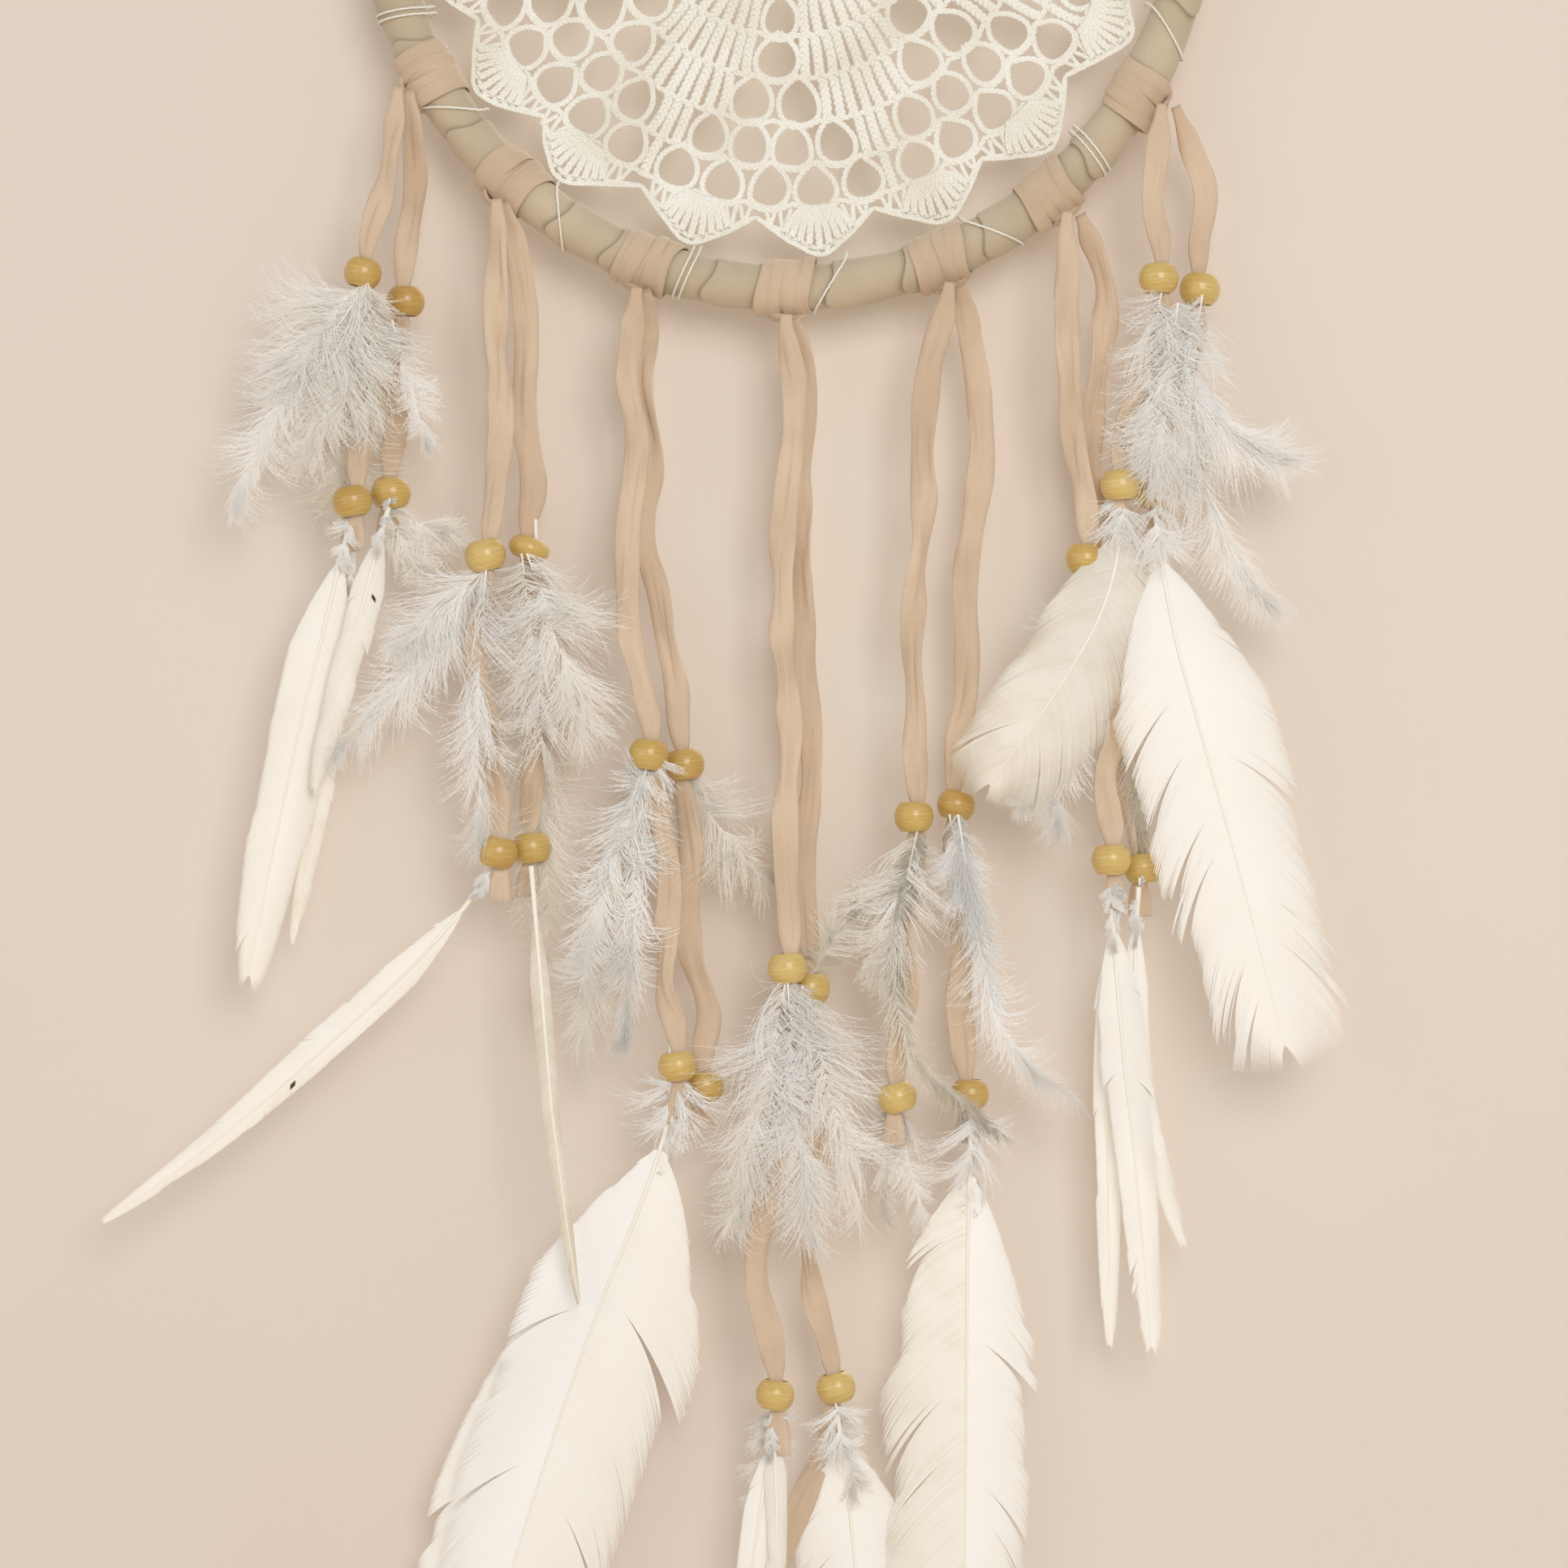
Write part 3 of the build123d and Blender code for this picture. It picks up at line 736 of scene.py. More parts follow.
def round_shape(row):
    """Radius and angle of the chain round outside a row, scalloped where it passes the open cells."""
    radius = ROUND_RADII[row + 1]
    half_wedge = math.degrees(BARS[row] * BAR_STEP / 2 / radius)
    degrees, radii = [], []
    for sector in range(SECTORS):
        axis = FIRST_WEDGE + SECTOR * sector
        degrees.extend(axis + np.linspace(-1, 1, 9) * half_wedge)
        radii.extend([radius] * 9)
        count = CELL_POINTS * CELLS[row]
        degrees.extend(np.linspace(axis + half_wedge, axis + SECTOR - half_wedge, count + 1)[1:-1])
        radii.extend(radius - 0.0009 + 0.0018 * np.abs(np.sin(np.arange(1, count) / CELL_POINTS * np.pi)))
    degrees.append(degrees[0] + 360)
    radii.append(radii[0])
    return np.array(radii), np.array(degrees)


CORD = 0.00058
CELL_SHAPE = [(0, -1.28), (-0.62, -0.80), (-1, -0.1), (-0.9, 0.66), (-0.38, 1.0), (0.38, 1.0),
              (0.9, 0.66), (1, -0.1), (0.62, -0.80), (0, -1.28)]


def cell_loop(degrees, radius, half_width, half_height):
    """A closed loop of chain stitches round one open cell: pointed towards the centre and round outwards."""
    outwards, _, beside = hoop_axes(degrees)
    spots = np.array(CELL_SHAPE) * [half_width, half_height] + 0.00022 * lace.standard_normal((10, 2))
    spots[-1] = spots[0]
    middle = polar(radius, degrees)
    return read_line(middle + spots[:, [0]] * beside + spots[:, [1]] * outwards, 5)


bars, mesh_lines, cell_lines, fans = [], [], [], []
shapes = [round_shape(row) for row in range(5)]
inner_round = (np.full(121, ROUND_RADII[0]), np.linspace(-180, 180, 121))
for row in range(5):
    radii, degrees = shapes[row]
    mesh_lines.append(polar(radii, degrees))
    below_r, below_d = inner_round if row == 0 else shapes[row - 1]
    half_wedge = math.degrees(BARS[row] * BAR_STEP / 2 / ROUND_RADII[row + 1])
    for sector in range(SECTORS):
        axis = FIRST_WEDGE + SECTOR * sector
        for bar in range(BARS[row]):
            outer = axis + half_wedge * (2 * (bar + 0.5) / BARS[row] - 1) * 1.08
            inner = axis + (outer - axis) * 0.96
            foot = np.interp((inner - below_d[0]) % 360 + below_d[0], below_d, below_r)
            spots = np.linspace(0, 1, 12)
            bow = loose() * np.sin(np.pi * spots)
            bars.append(polar(foot + (ROUND_RADII[row + 1] - foot) * spots,
                              inner + (outer - inner) * spots + np.degrees(bow / 0.06), 0.0003))
        step = (SECTOR - 2 * half_wedge) / CELLS[row]
        middle = (ROUND_RADII[row] + ROUND_RADII[row + 1]) / 2 + 0.0004
        half_width = math.radians(step) * middle / 2 - CORD * 0.9
        half_height = (ROUND_RADII[row + 1] - ROUND_RADII[row]) / 2 - CORD * 0.2
        for cell in range(CELLS[row]):
            at = axis + half_wedge + step * (cell + 0.5) + loose(0.25)
            cell_lines.append(cell_loop(at, middle, half_width, half_height))
print(f"{len(bars)} bars and {len(mesh_lines)} mesh lines")

# %% Fans at the edge
FANS = 18
FAN_ANGLE = 360 / FANS
FIRST_FAN = 4.5
FAN_TIP = 0.0122
FAN_FLAT = 0.0016
FAN_SLOPE = 0.74
SIDE_BARS = ((0.0062, 0.0088), (0.0090, 0.0088), (0.0098, 0.0118), (0.0124, 0.0118))
edges = []


def fan_edge(across, inset):
    """Height of a fan's three-cornered outline above its base, at a distance to one side."""
    return FAN_TIP - inset - FAN_SLOPE * np.maximum(np.abs(across) - FAN_FLAT, 0)


for fan in range(FANS):
    axis = FIRST_FAN + FAN_ANGLE * fan + loose(0.7)
    outwards, _, beside = hoop_axes(axis)
    base = polar(0.0808, axis)
    ends, border = [], []
    for share in np.linspace(-1, 1, 9):
        lean = math.radians(42 * share)
        foot = 0.0030 * share
        height = fan_edge(foot, 0.0013) / (1 + FAN_SLOPE * abs(math.tan(lean)))
        across = foot + height * math.tan(lean)
        spots = np.linspace(0, 1, 14)[:, None]
        reach = beside * (across - foot) + outwards * height
        path = base + beside * foot + reach * spots + beside * 0.0006 * share * np.sin(np.pi * spots)
        fans.append(path + np.array([0, -0.0005, 0]))
        ends.append(path[-1])
        border.append(base + beside * across * 1.1 + outwards * (fan_edge(across * 1.1, 0) + loose(0.00015)))
    after, before = [polar(0.0838, FIRST_FAN + FAN_ANGLE * (fan + part)) for part in (0.5, -0.5)]
    edges.append(read_line([after, *ends, before], 6))
    edges.append(read_line([after, *border, before], 6))
    for end, near, far in zip(ends, border, border[1:]):
        edges.append(np.linspace(end, (near + far) / 2, 5))
    for side in (-1, 1):
        for foot, across in SIDE_BARS:
            top = base + beside * side * across + outwards * fan_edge(across, 0.0005)
            edges.append(np.linspace(polar(0.0812, axis - side * math.degrees(foot / 0.081)), top, 6))
print(f"{len(fans)} bars and {len(edges)} edge lines in the fans")

# %% The lace centre, worked in rounds of bars
centre = []
for radius, count in ((0.006, 0), (0.0135, 14), (0.0213, 28), (0.029, 44)):
    degrees = np.linspace(0, 360, 97)
    centre.append(polar(radius + 0 * degrees, degrees))
    for bar in range(count):
        at = 360 * bar / count + loose(0.5)
        centre.append(polar(np.linspace(radius - 0.0072, radius, 12), at + 0 * np.arange(12), 0.0002))
for part, paths, half_width, pitch, seed in (
        ("bars", bars, 0.00088, 0.0046, 3), ("rounds", mesh_lines, 0.00045, 0.0046, 5),
        ("cells", cell_lines, 0.0005, 0.0038, 6), ("fans", fans, 0.00062, 0.0042, 7),
        ("edges", edges, 0.00042, 0.003, 8), ("centre", centre, 0.00062, 0.0046, 9)):
    piece = yarn(f"lace_{part}", paths, cotton, half_width, pitch, seed)
    stand_for(piece, "web", "hoop")
    print(piece.name, len(piece.data.polygons), "faces")

# %% [markdown]
# ## The lashing threads
# A thin cotton thread goes from the tip of each fan, over the wrap, round its back and in again.

# %% Threads
TIE_ANGLES = [-55.5, -34, -14, 6, 30, 48.5, 68, 88, 108, 128, 148, 168, 192, 212, 232, 252, 272, 290]
TIE_SLANTS = [0.0048, -0.0052, 0.0012]
TIE_SHIFTS = [[0.0], [0.0], [0.0, 0.0016]]
threads = []
phases = np.linspace(0, 2 * np.pi, 61)
radii = 0.0063 + 0.0015 * np.exp(-((phases - np.pi) / 0.4) ** 2)
for index, degrees in enumerate(TIE_ANGLES):
    for shift in TIE_SHIFTS[index % 3]:
        shifts = shift + TIE_SLANTS[index % 3] * np.cos(phases)
        threads.append(around_tube(degrees, phases, radii, shifts)[0])
ties = yarn("lashing_threads", threads, cotton, 0.00022, 0.0016, 13)
stand_for(ties, "web_ties", "hoop")
print(f"{len(threads)} threads, {len(ties.data.polygons)} faces")

# %% [markdown]
# ## The beads
# The beads are turned from a pale wood and lacquered. One is modelled by hand from a ball: its poles are
# cut away, the two openings are bridged to make the bore, and the rims are bevelled. Copies are set on
# the legs, each with its own turn, tilt and size.

# %% One bead by hand
BEAD_R = 0.0047
BEAD_FLAT = 0.0038


def pick_faces(piece, test):
    """Goes into edit mode with only the faces that pass the test selected."""
    bpy.ops.object.mode_set(mode="EDIT")
    bpy.ops.mesh.select_mode(type="FACE")
    bpy.ops.mesh.select_all(action="DESELECT")
    bpy.ops.object.mode_set(mode="OBJECT")
    for polygon in piece.data.polygons:
        polygon.select = test(polygon)
    bpy.ops.object.mode_set(mode="EDIT")


bpy.ops.object.select_all(action="DESELECT")
bpy.ops.mesh.primitive_uv_sphere_add(segments=32, ring_count=20, radius=BEAD_R, location=(0, 0, 0))
model_bead = bpy.context.object
model_bead.name = "model_bead"
pick_faces(model_bead, lambda polygon: abs(polygon.center.z) > BEAD_FLAT)
bpy.ops.mesh.delete(type="FACE")
bpy.ops.mesh.select_all(action="DESELECT")
bpy.ops.mesh.select_mode(type="EDGE")
bpy.ops.mesh.select_non_manifold()
bpy.ops.mesh.bridge_edge_loops(number_cuts=2)
bpy.ops.object.mode_set(mode="OBJECT")
bevel = model_bead.modifiers.new("rims", "BEVEL")
bevel.width = 0.0004
bevel.segments = 3
bevel.angle_limit = math.radians(40)
bpy.ops.object.modifier_apply(modifier="rims")
bpy.ops.object.shade_smooth()
print(f"bead of {len(model_bead.data.polygons)} faces")

# %% Lacquered wood
lacquer, tree, shader = new_material("lacquered_wood", colour(214, 178, 106), 0.32,
                                     Coat_Weight=0.5, Coat_Roughness=0.15)
grain = noise(tree, 3.5, 6.0, coordinates(tree, "UV", (1.0, 14.0, 1.0)), Distortion=0.6)
mixed = arithmetic(tree, "ADD", grain, noise(tree, 38.0, 1.0))
halved = arithmetic(tree, "MULTIPLY", mixed, 0.5)
paint(tree, shader, ramp(tree, halved, (0.3, colour(184, 140, 66)), (0.5, colour(208, 174, 96)),
                         (0.68, colour(226, 200, 130))))
bump(tree, shader, grain, 0.00012, 0.35)

# %% Beads on their legs
beads = np.random.default_rng(21)
for number, strand in enumerate(STRANDS, start=1):
    for half, key in (("strand", "bead"), ("tail", "low_bead")):
        for leg, side in zip(strand["legs"], LEG_SIDES):
            piece = bpy.data.objects.new(f"{half}_{number}_bead_{side + 2}", model_bead.data.copy())
            bpy.context.scene.collection.objects.link(piece)
            place_bead = Matrix.Translation(place(*leg[key], strand["y"] + side * LEG_Y))
            turn = Matrix.Rotation(6.3 * beads.random(), 4, "Z")
            tilt = Matrix.Rotation(math.radians(9) * beads.standard_normal(), 4, "Y")
            size = np.array([1, 1, 0.97]) * (1.04 + 0.025 * beads.standard_normal())
            if number == 2 and half == "strand" and side > 0:
                size = np.array([1.12, 1.1, 0.76])
            piece.data.transform(place_bead @ tilt @ turn @ Matrix.Diagonal((*size, 1)))
            piece.data.materials.clear()
            piece.data.materials.append(lacquer)
            stand_for(piece, f"{half}_{number}_beads", f"{half}_{number}")
bpy.data.objects.remove(model_bead)
print("28 beads set")

# %% [markdown]
# ## Feathers
# A feather is a shaft with hundreds of barbs. On a blade the barbs lie side by side and hook together into
# a flat vane, with splits where they have come apart. On down they are long, loose and curly, and each has
# its own fine barbules. Both kinds are drawn barb by barb, because their edges and splits are what is seen.
# Each point carries a tone, from white to beige-grey, that the feather material reads.

# %% The feather material
feather_skin, tree, shader = new_material("feather_skin", colour(238, 234, 226), 0.55, Sheen_Weight=0.2)
tone = add_node(tree, "Attribute", attribute_name="tone")
quill = add_node(tree, "Attribute", attribute_name="quill")
cloudy = arithmetic(tree, "MULTIPLY", arithmetic(tree, "SUBTRACT", noise(tree, 90.0, 4.0), 0.5), 0.35)
summed = arithmetic(tree, "ADD", tone.outputs["Fac"], cloudy)
down_colour = ramp(tree, summed, (0.0, colour(255, 253, 249)), (0.35, colour(252, 247, 237)),
                   (0.7, colour(222, 211, 187)), (1.0, colour(170, 156, 130)))
mix = add_node(tree, "MixRGB", {0: quill.outputs["Fac"], 1: down_colour, 2: colour(254, 249, 237)})
flecks = arithmetic(tree, "GREATER_THAN", tone.outputs["Fac"], 1.5)
dark = add_node(tree, "MixRGB", {0: flecks, 1: mix.outputs[0], 2: colour(58, 48, 40)})
paint(tree, shader, dark.outputs[0])
bump(tree, shader, noise(tree, 1600.0, 2.0), 0.00006, 0.4)


# %% Hairs, ribbons of hair and barbules
def walk(starts, headings, lengths, bends, steps):
    """Many hairs at once. Each takes small steps and turns a little at every one."""
    hairs = np.zeros((len(starts), steps + 1, 3))
    hairs[:, 0] = starts
    heading = headings
    for k in range(steps):
        hairs[:, k + 1] = hairs[:, k] + heading * (lengths / steps)[:, None]
        heading = unit(heading + bends)
    return hairs


def hair_ribbons(hairs, width, facing, taper):
    """Each hair as a flat ribbon that tapers."""
    _, side, _ = directions(hairs, facing)
    half = (width / 2 * taper)[None, :, None] * side
    count, steps = hairs.shape[:2]
    points = np.stack([hairs - half, hairs + half], 2).reshape(-1, 3)
    start = (np.arange(count)[:, None] * steps + np.arange(steps - 1)[None]).reshape(-1) * 2
    return points, np.stack([start, start + 1, start + 3, start + 2], -1)


def barbules(hairs, fuzz, per_hair, rng):
    """Fine triangles on both sides of each hair."""
    count, steps = hairs.shape[:2]
    at = rng.uniform(0.04, 0.98, (count, per_hair)) * (steps - 1)
    low = np.minimum(at.astype(int), steps - 2)
    part = (at - low)[..., None]
    row = np.arange(count)[:, None]
    spot = hairs[row, low] * (1 - part) + hairs[row, low + 1] * part
    along = unit(hairs[row, low + 1] - hairs[row, low])
    loose_way = rng.standard_normal(spot.shape)
    side = unit(np.cross(along, np.array([0, -1.0, 0]) + 0.5 * loose_way))
    sign = np.where(rng.random((count, per_hair, 1)) < 0.5, -1, 1)
    way = unit(side * sign + along * rng.uniform(0.5, 1.3, (count, per_hair, 1)) + 0.25 * loose_way)
    reach = fuzz * rng.uniform(0.45, 1.1, (count, per_hair, 1)) * (1 - 0.6 * (at / steps)[..., None])
    base = along * 0.00007
    tip = spot + way * reach
    points = np.stack([spot - base, spot + base, tip], 2).reshape(-1, 3)
    return points, np.arange(len(points)).reshape(-1, 3)


def tube_along(line, radii, sides=6):
    """A round tube along a line, for a shaft or a quill."""
    _, side, face = directions(line, np.array([0.01, -1, 0.02]))
    turn = np.linspace(0, 2 * np.pi, sides + 1)[:-1]
    ring = np.cos(turn)[None, :, None] * side[:, None] + np.sin(turn)[None, :, None] * face[:, None]
    return (line[:, None] + ring * radii[:, None, None]).reshape(-1, 3), skin(len(line), sides)


# %% A heap collects the parts of one piece
class Heap:
    """Gathers points and faces, with their tone, and turns them into one mesh."""

    def __init__(self):
        self.points, self.faces, self.tones, self.quills, self.soft = [], [], [], [], []
        self.used = 0

    def add(self, points, faces, tone, quill=0.0, middle=None, reach=1.0):
        if middle is None:
            self.soft.append(np.zeros((len(points), 3)))
        else:
            a, b, c = (points[faces[:, k]] for k in range(3))
            turned = np.cross(b - a, c - a)[:, 1] > 0
            faces = np.where(turned[:, None], faces[:, ::-1], faces)
            self.soft.append(unit(0.45 * (points - middle) / reach + np.array([0, -1.0, 0.25])))
        self.points.append(points)
        self.faces.append(faces + self.used)
        self.tones.append(np.broadcast_to(tone, len(points)))
        self.quills.append(np.full(len(points), quill))
        self.used += len(points)

    def piece(self, name):
        made = make_mesh(name, np.concatenate(self.points), self.faces, feather_skin,
                         tone=np.concatenate(self.tones), quill=np.concatenate(self.quills))
        normals = np.zeros(3 * self.used, np.float32)
        made.data.vertex_normals.foreach_get("vector", normals)
        soft = np.concatenate(self.soft)
        given = np.abs(soft).sum(1, keepdims=True) > 0
        made.data.normals_split_custom_set_from_vertices(np.where(given, soft, normals.reshape(-1, 3)))
        return made


HAIRS = 18
PER_HAIR = 14
HAIR_STEPS = 8
FUZZ = 0.0011
FRONT_LIMIT = 0.0195
BACK_LIMIT = 0.0125


def plume(heap, spots, reach, tone, rng, tufts=34, droop=0.045, curl=0.105, spread=44, body=0.00015):
    """A plume of down along a spine. Its hairs grow in tufts that share a bend. Reach is their length."""
    first, second = np.array(spots[0]), np.array(spots[1])
    spots = [first + 0.0028 * (first - second) / np.linalg.norm(first - second), *spots[1:]]
    spine = read_line(spots, 10)
    s = distances(spine)
    tuft_share = np.sort(rng.uniform(0.0, 1, tufts)) ** 0.8
    tuft_open = spread * (1.35 - 0.85 * tuft_share) + 9 * rng.standard_normal(tufts)
    tuft_bend = rng.standard_normal((tufts, 3)) * np.array([1, 0.4, 1]) * curl
    tuft_side = np.where(rng.permutation(tufts) % 2 == 0, -1.0, 1.0)
    tuft_depth = 0.5 * rng.standard_normal(tufts)
    tuft_length = reach * (0.62 + 0.55 * np.sin(np.pi * tuft_share**0.7)) * rng.uniform(0.75, 1.15, tufts)
    own = np.repeat(np.arange(tufts), HAIRS)
    count = len(own)
    share = np.clip(tuft_share[own] + 0.035 * rng.standard_normal(count), 0, 1)
    root = at_distances(spine, s, share * s[-1])
    along, side, face = [at_distances(way, s, share * s[-1]) for way in directions(spine, NEARLY_FRONT)]
    sign = tuft_side[own][:, None]
    open_angle = np.radians(tuft_open[own] + 7 * rng.standard_normal(count))[:, None]
    depth = (tuft_depth[own] + 0.16 * rng.standard_normal(count))[:, None]
    heading = unit(along * np.cos(open_angle) + (side * sign + depth * face) * np.sin(open_angle))
    bends = tuft_bend[own] + 0.3 * curl * rng.standard_normal((count, 3))
    bends = bends + np.array([0, 0, -droop]) + 0.02 * sign * side
    lengths = tuft_length[own] * rng.uniform(0.6, 1.12, count)
    made = walk(root, heading, lengths, bends * 1.25, HAIR_STEPS)
    made[:, :, 1] = np.clip(made[:, :, 1], HOOP.y - FRONT_LIMIT, HOOP.y + BACK_LIMIT)
    facing = np.array([0, -1.0, 0]) + 0.3 * rng.standard_normal((count, 1, 3))
    middle = spine[len(spine) // 2]
    shade = tone + 0.10 * rng.standard_normal(tufts)[own] + 0.05 * rng.standard_normal(count)
    points, faces = hair_ribbons(made, body, facing, np.linspace(1, 0.3, HAIR_STEPS + 1))
    heap.add(points, faces, np.repeat(shade, 2 * (HAIR_STEPS + 1)), 0, middle, reach)
    points, faces = barbules(made, FUZZ, PER_HAIR, rng)
    heap.add(points, faces, np.repeat(shade - 0.05, PER_HAIR * 3), 0, middle, reach)
    stem = spine[:max(3, int(len(spine) * 0.12))]
    points, faces = tube_along(stem, np.linspace(0.00034, 0.00012, len(stem)), 5)
    heap.add(points, faces, tone, 0.3)


VANE_START = 0.1
VANE_STEPS = 8
CUP = 0.12
SHINGLE = 0.00007


def blade(heap, spots, left, right, tone, rng, ragged=1.0, point=2.6, barbs=210, fluff=True,
          fleck=None, painted_vane_shade=0.0):
    """A long feather: a tapering shaft with a vane of barbs on each side. Left and right are half widths."""
    shaft = read_line(spots, 16)
    s = distances(shaft)
    points, faces = tube_along(shaft, np.interp(s / s[-1], [0, 0.15, 1], [0.0007, 0.00055, 0.0001]), 7)
    heap.add(points, faces, tone, 1.0)
    along, side, face = directions(shaft, np.array([0.01, -1, 0.01]))
    for sign, width in ((-1, left), (1, right)):
        share = np.linspace(VANE_START, 0.992, barbs)
        inside = (share - VANE_START) / (1 - VANE_START)
        root = at_distances(shaft, s, share * s[-1])
        t, b, f = [unit(at_distances(way, s, share * s[-1])) for way in (along, side, face)]
        form = np.clip(inside / 0.16, 0.02, 1) ** 0.65 * (1 - inside**point) ** 0.62 + 0.03
        cuts = np.cumsum(rng.random(barbs) < 0.05)
        fork = np.radians(3.2 * ragged) * rng.standard_normal(cuts[-1] + 1)[cuts]
        tooth = 1 + 0.05 * ragged * rng.standard_normal(cuts[-1] + 1)[cuts]
        tooth = tooth + 0.012 * rng.standard_normal(barbs)
        angle = np.radians(np.interp(inside, [0, 0.25, 0.7, 1], [58, 44, 32, 13]))
        reach = width * form / np.sin(angle) * tooth
        reach = np.minimum(reach, (1.03 - share) * s[-1] + 0.002)
        u = np.linspace(0, 1, VANE_STEPS + 1)
        turned = angle[:, None] + fork[:, None] * u**0.7 + np.radians(15) * (1 - 2 * u)
        grow = (reach / VANE_STEPS)[:, None]
        out, on = [np.cumsum(part * grow, 1) - part * grow for part in (np.sin(turned), np.cos(turned))]
        bow = CUP * out**2 / width
        wave = 0.0003 * np.sin(inside * 19 + sign)[:, None] * u
        centre = (root[:, None] + t[:, None] * on[..., None] + b[:, None] * (sign * out)[..., None]
                  - f[:, None] * (bow + wave)[..., None])
        half = (share[1] - share[0]) * s[-1] * 0.62 * np.interp(u, [0, 0.85, 1], [1.0, 1.0, 0.35])
        lap = t[:, None] * half[None, :, None] + f[:, None] * SHINGLE
        vane = np.stack([centre + lap, centre - lap], 2).reshape(-1, 3)
        first = np.arange(barbs)[:, None] * (VANE_STEPS + 1) + np.arange(VANE_STEPS)[None]
        first = first.reshape(-1) * 2
        quads = np.stack([first, first + 1, first + 3, first + 2], -1)
        shade = tone + 0.028 * rng.standard_normal(barbs)[:, None] + 0.05 * np.abs(u[None] - 0.2)
        # Painted shade: the right vane's tone is shifted by this amount, darker above zero and lighter below,
        # for how that vane is turned to the light.
        shade = shade + painted_vane_shade * (sign > 0)
        if fleck and fleck[0] == sign:
            near_fleck = np.abs(np.arange(barbs) - fleck[1] * barbs) < 1.6
            shade[np.ix_(near_fleck, (u > 0.3) & (u < 0.55))] = 2.0
        heap.add(vane, quads, np.repeat(shade.ravel(), 2))
    if fluff:
        start_spot, next_spot = Vector(spots[0]), Vector(spots[1])
        ahead = Vector((0, -0.0014, 0))
        stem = [start_spot + (next_spot - start_spot) * share + ahead for share in (0.02, 0.22, 0.45)]
        plume(heap, stem, (left + right) * 0.36, -0.1, rng, tufts=12)


# %% [markdown]
# ## Down under the upper beads
# Each upper bead has a bunch of marabou. Its plumes are given by a few points of their spines, in
# millimetres from the hoop's centre, with how far the hairs reach, how beige the plume is and how far back
# it hangs.

# %% The plumes
DOWN = {
    1: [([(-105, -101), (-112, -108), (-121, -120)], 19, 0.22, -5.5, {"tufts": 44}),
        ([(-104, -103), (-110, -120), (-116, -140)], 18, 0.2, -5, {"tufts": 44}),
        ([(-108, -108), (-122, -128), (-131, -144), (-135, -154)], 14, 0.05, -6,
         {"curl": 0.12, "spread": 20, "tufts": 40}),
        ([(-102, -106), (-108, -130), (-110, -158), (-107, -178)], 14, 0.55, 3, {}),
        ([(-102, -103), (-101, -112), (-104, -136)], 13, 0.4, -4.5, {}),
        ([(-96, -112), (-92, -124), (-88, -142)], 7, 0.1, -5, {"tufts": 22})],
    2: [([(-75, -171), (-85, -181), (-94, -188)], 15, 0.0, -5, {"spread": 28}),
        ([(-76, -173), (-90, -194), (-102, -206), (-108, -214)], 15, 0.0, -4.5, {"spread": 26, "tufts": 44}),
        ([(-74, -172), (-77, -205), (-75, -238)], 14, 0.02, -6, {"spread": 32}),
        ([(-63, -169), (-57, -186), (-50, -208)], 18, 0.18, -4, {}),
        ([(-63, -171), (-63, -210), (-58, -250), (-60, -274)], 16, 0.5, 3.5, {"tufts": 44}),
        ([(-65, -169), (-62, -190), (-60, -216)], 16, 0.3, -2, {})],
    3: [([(-35, -220), (-43, -242), (-50, -270)], 13, 0.02, -5, {"spread": 34, "body": 0.00024, "tufts": 44}),
        ([(-35, -220), (-38, -246), (-40, -284)], 12, 0.0, -4.5,
         {"spread": 34, "body": 0.00024, "tufts": 44}),
        ([(-34, -222), (-45, -262), (-52, -292)], 15, 0.3, 2.5, {}),
        ([(-25, -223), (-15, -236), (-6, -246)], 15, 0.5, 3.5, {}),
        ([(-33, -219), (-36, -226), (-40, -238)], 11, 0.15, -4.5, {"tufts": 26})],
    4: [([(-1, -273), (-6, -298), (-11, -322)], 18, 0.12, -5.5, {}),
        ([(5, -278), (11, -302), (18, -328)], 18, 0.16, -5, {}),
        ([(0, -273), (2, -306), (5, -334)], 16, 0.08, -6, {"tufts": 44}),
        ([(3, -275), (-4, -310), (-14, -330)], 15, 0.25, -4.5, {}),
        ([(7, -268), (13, -259), (20, -250)], 10, 0.5, 2, {"tufts": 22})],
    5: [([(31, -237), (25, -262), (27, -284), (38, -298), (52, -308)], 9, 0.6, -5.5,
         {"spread": 26, "tufts": 44}),
        ([(31, -236), (27, -250), (23, -268)], 15, 0.3, -5, {}),
        ([(42, -233), (46, -258), (50, -280), (59, -293), (70, -300)], 12, 0.0, -5.5,
         {"spread": 24, "tufts": 48}),
        ([(40, -233), (42, -244), (44, -258)], 9, 0.1, -5, {"tufts": 24})],
    6: [([(73, -173), (68, -205), (66, -232)], 13, 0.12, -3.5, {}),
        ([(81, -171), (86, -208), (87, -238)], 13, 0.5, 2.5, {}),
        ([(74, -205), (68, -222), (58, -228)], 10, 0.15, -3.5, {"tufts": 22})],
    7: [([(91, -104), (87, -122), (88, -146)], 14, 0.08, -5.5, {}),
        ([(101, -106), (99, -126), (96, -152)], 15, 0.1, -5, {}),
        ([(98, -118), (104, -132), (112, -141), (120, -143)], 17, 0.0, -4,
         {"droop": -0.012, "spread": 18, "curl": 0.05, "tufts": 40}),
        ([(96, -128), (102, -152), (109, -168), (117, -178)], 15, 0.08, -3,
         {"spread": 20, "curl": 0.06, "tufts": 40}),
        ([(95, -108), (93, -128), (90, -150)], 14, 0.08, -6, {"tufts": 44})],
}


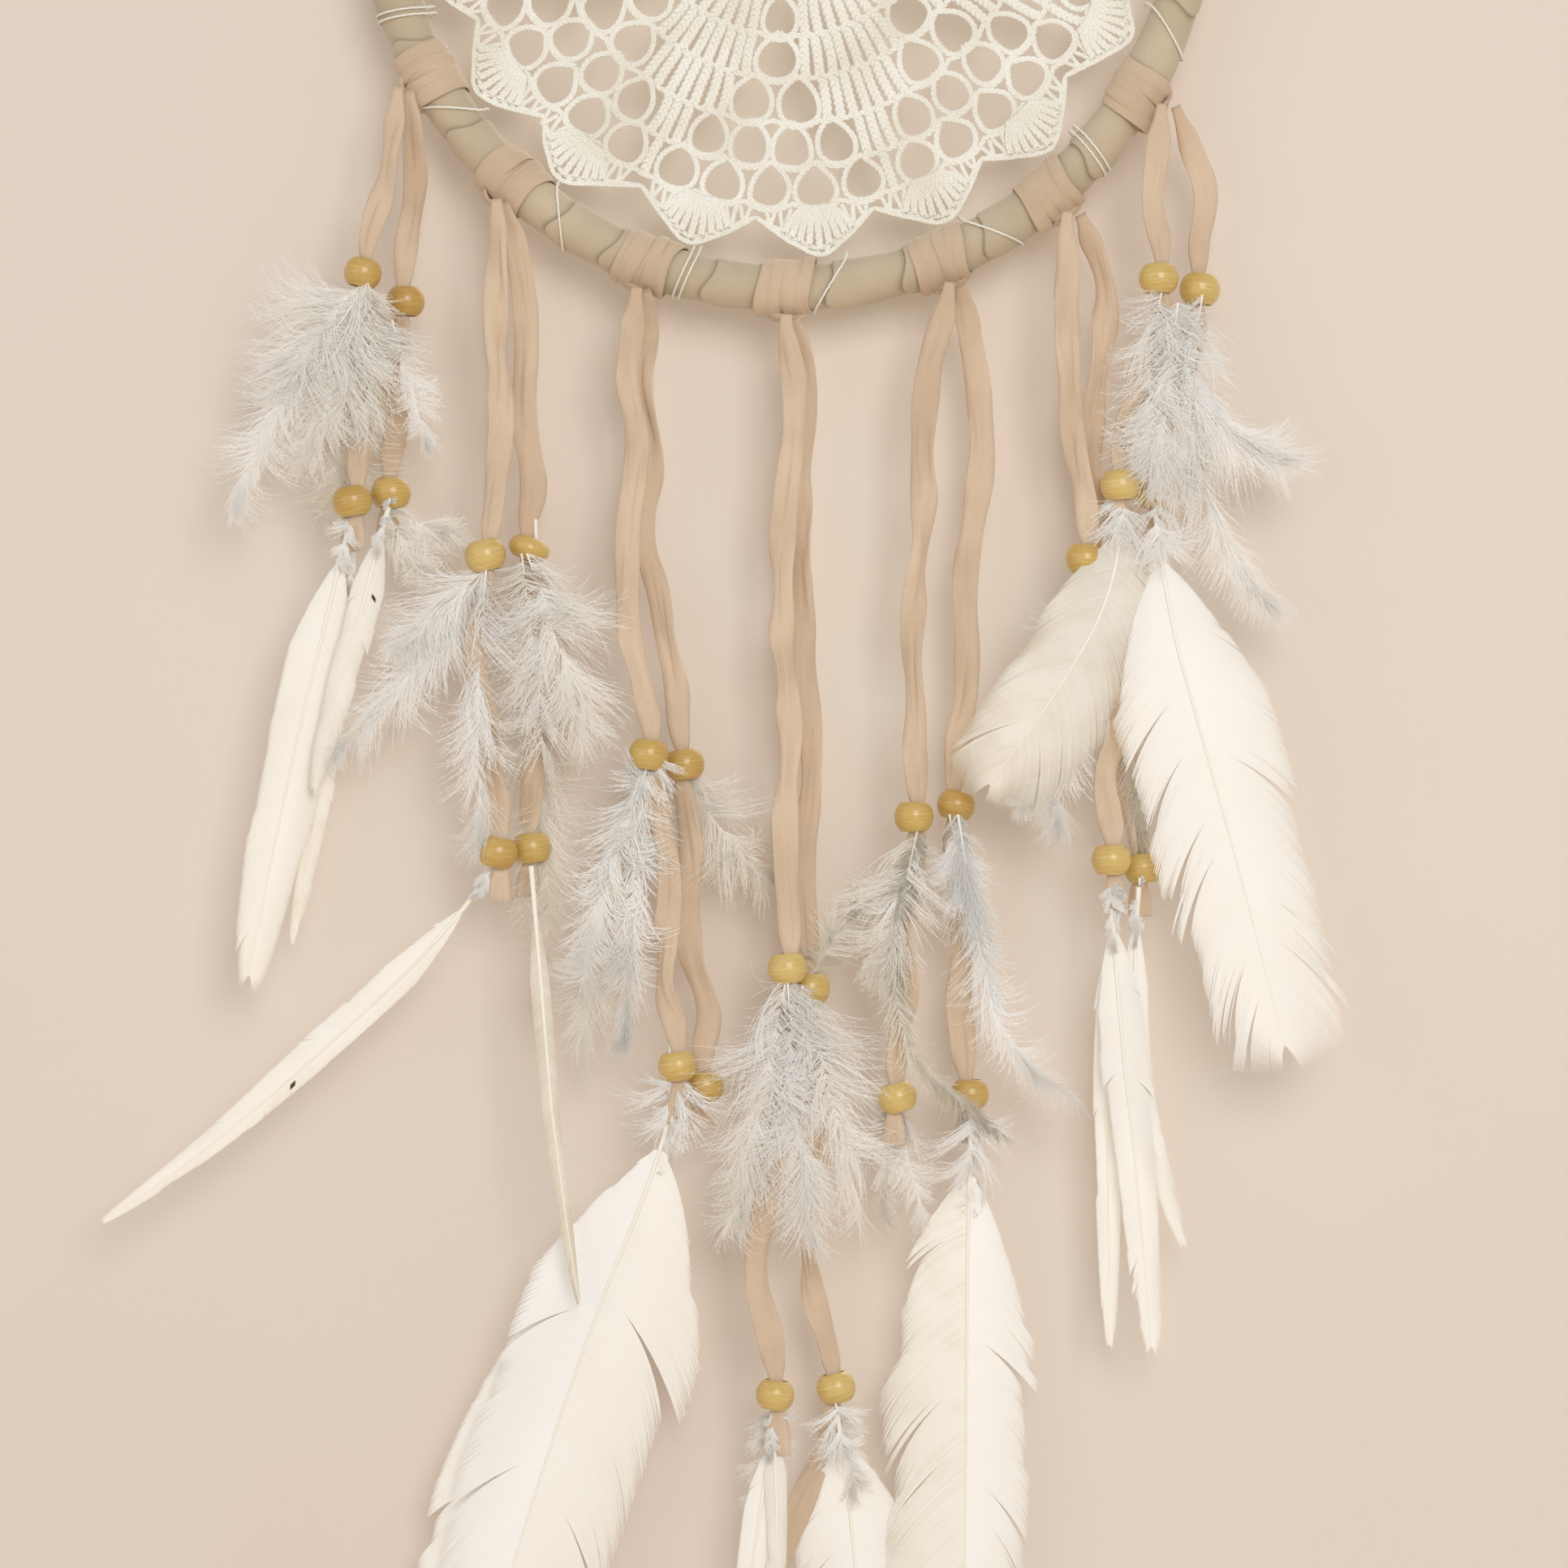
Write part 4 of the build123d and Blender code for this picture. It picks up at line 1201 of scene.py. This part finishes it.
def quill_stub(heap, strand, leg, key, side, rise, radii):
    """The cut end of a quill that stands up out of a bead."""
    x, z = leg[key]
    quill_x = x + leg[side] * 0.0016
    y = strand["y"] + LEG_SIDES[strand["legs"].index(leg)] * LEG_Y
    line = np.array(place(quill_x, z, y)) + [[0, 0, up] for up in rise]
    points, faces = tube_along(line, np.array(radii))
    heap.add(points, faces, 0.1, 0.7)


def row_points(strand, spots, depth):
    return [place(x * MM, z * MM, strand["y"] + depth * MM) for x, z in spots]


for number, strand in enumerate(STRANDS, start=1):
    rng = np.random.default_rng(300 + number)
    heap = Heap()
    for spots, reach, tone, depth, more in DOWN[number]:
        plume(heap, row_points(strand, spots, depth), reach * MM, tone, rng, **more)
    if number == 2:
        rise = (-0.006, 0.0, 0.0062 + 0.0012 * rng.random())
        quill_stub(heap, strand, strand["legs"][1], "bead", "side", rise, (0.0005, 0.00055, 0.0005))
    piece = heap.piece(f"strand_{number}_down")
    stand_for(piece, f"strand_{number}_feathers", f"strand_{number}")
    print(piece.name, len(piece.data.polygons), "faces")

# %% [markdown]
# ## Blades under the lower beads
# The lower beads carry the long feathers. Each has its shaft's points, the half width of its vane on each
# side, how beige it is and how far back it hangs. Two long ones hang from strand seven, in front of its
# neighbour.

# %% The blades
# The option that shifts the right vane's tone paints shade: that vane is made darker or lighter for how it is
# turned to the light.
BLADES = {
    1: [([(-107, -157), (-113, -182), (-124, -228), (-132, -270)], 8.0, 7.5, 0.25, -4, {}),
        ([(-106, -160), (-110, -196), (-117, -236), (-122, -262)], 3.4, 3.4, 0.35, 1, {}),
        ([(-98, -155), (-104, -180), (-112, -208), (-116, -224)], 4.2, 3.8, 0.3, -7,
         {"point": 2.0, "fleck": (-1, 0.22)})],
    2: [([(-72, -243), (-82, -258), (-116, -290), (-148, -317), (-168, -330)], 3.8, 5.0, 0.28, -3,
         {"point": 1.6, "fleck": (-1, 0.5)}),
        ([(-63, -243), (-60, -275), (-57, -312), (-51, -350)], 2.0, 2.4, 0.55, -8, {"fluff": False})],
    3: [([(-27, -296), (-31, -314), (-47, -352), (-62, -396), (-72, -430), (-78, -461)], 25, 18, 0.2, -3,
         {"barbs": 300, "point": 4.0, "painted_vane_shade": -0.2}),
        ([(-25, -300), (-46, -342), (-70, -378), (-84, -408), (-88, -440)], 8.5, 8.0, 0.2, 4,
         {"ragged": 2.6})],
    4: [([(-3, -377), (-7, -400), (-11, -436), (-12, -461)], 4.4, 4.2, 0.15, -3, {"ragged": 1.8}),
        ([(-4, -377), (-2, -402), (-3, -430)], 2.6, 2.6, 0.2, -5, {"fluff": False}),
        ([(12, -377), (15, -398), (18, -432), (18, -462)], 14, 14, 0.1, 3, {"point": 3.6, "barbs": 240})],
    5: [([(45, -304), (44, -336), (44, -390), (43, -456)], 15, 19, 0.05, 2,
         {"barbs": 300, "point": 4.0, "ragged": 1.5, "painted_vane_shade": 0.3})],
    6: [([(79, -247), (81, -280), (86, -322), (89, -361)], 6.0, 5.0, 0.15, -3, {"ragged": 1.6}),
        ([(86, -248), (84, -278), (89, -312), (97, -336)], 3.2, 3.4, 0.18, -1, {}),
        ([(81, -247), (78, -288), (79, -328), (79, -361)], 3.6, 3.4, 0.22, 2, {})],
    7: [([(82, -154), (81, -172), (68, -198), (49, -223)], 15, 14, 0.38, -9, {"point": 3.4, "barbs": 240}),
        ([(90, -156), (92, -180), (101, -212), (111, -248), (121, -287)], 17, 17, 0.08, -11,
         {"point": 4.0, "barbs": 300, "ragged": 1.3})],
}
LOW_DOWN = {
    1: [([(-97, -156), (-90, -159), (-82, -163)], 10, 0.35),
        ([(-98, -157), (-93, -166), (-88, -173)], 9, 0.4)],
    5: [([(27, -304), (31, -318), (33, -332)], 8, 0.2), ([(26, -303), (23, -316), (24, -330)], 6, 0.5),
        ([(44, -303), (47, -314), (46, -326)], 7, 0.3)],
    4: [([(-3, -377), (-6, -388), (-9, -400)], 7, 0.3), ([(12, -377), (14, -386), (16, -396)], 8, 0.2)],
}
for number, strand in enumerate(STRANDS, start=1):
    rng = np.random.default_rng(500 + number)
    heap = Heap()
    for spots, left, right, tone, depth, more in BLADES[number]:
        points = row_points(strand, spots, depth)
        points[0].y = HOOP.y + strand["y"] - 0.002
        blade(heap, points, left * MM, right * MM, tone, rng, **more)
    for spots, reach, tone in LOW_DOWN.get(number, []):
        plume(heap, row_points(strand, spots, 1), reach * MM, tone, rng, tufts=18)
    if number == 3:
        rise = (-0.007, 0.0, 0.005 + 0.001 * rng.random())
        quill_stub(heap, strand, strand["legs"][0], "low_bead", "low_side", rise, (0.0006, 0.0006, 0.0005))
    piece = heap.piece(f"tail_{number}_blades")
    stand_for(piece, f"tail_{number}_feathers", f"tail_{number}")
    print(piece.name, len(piece.data.polygons), "faces")
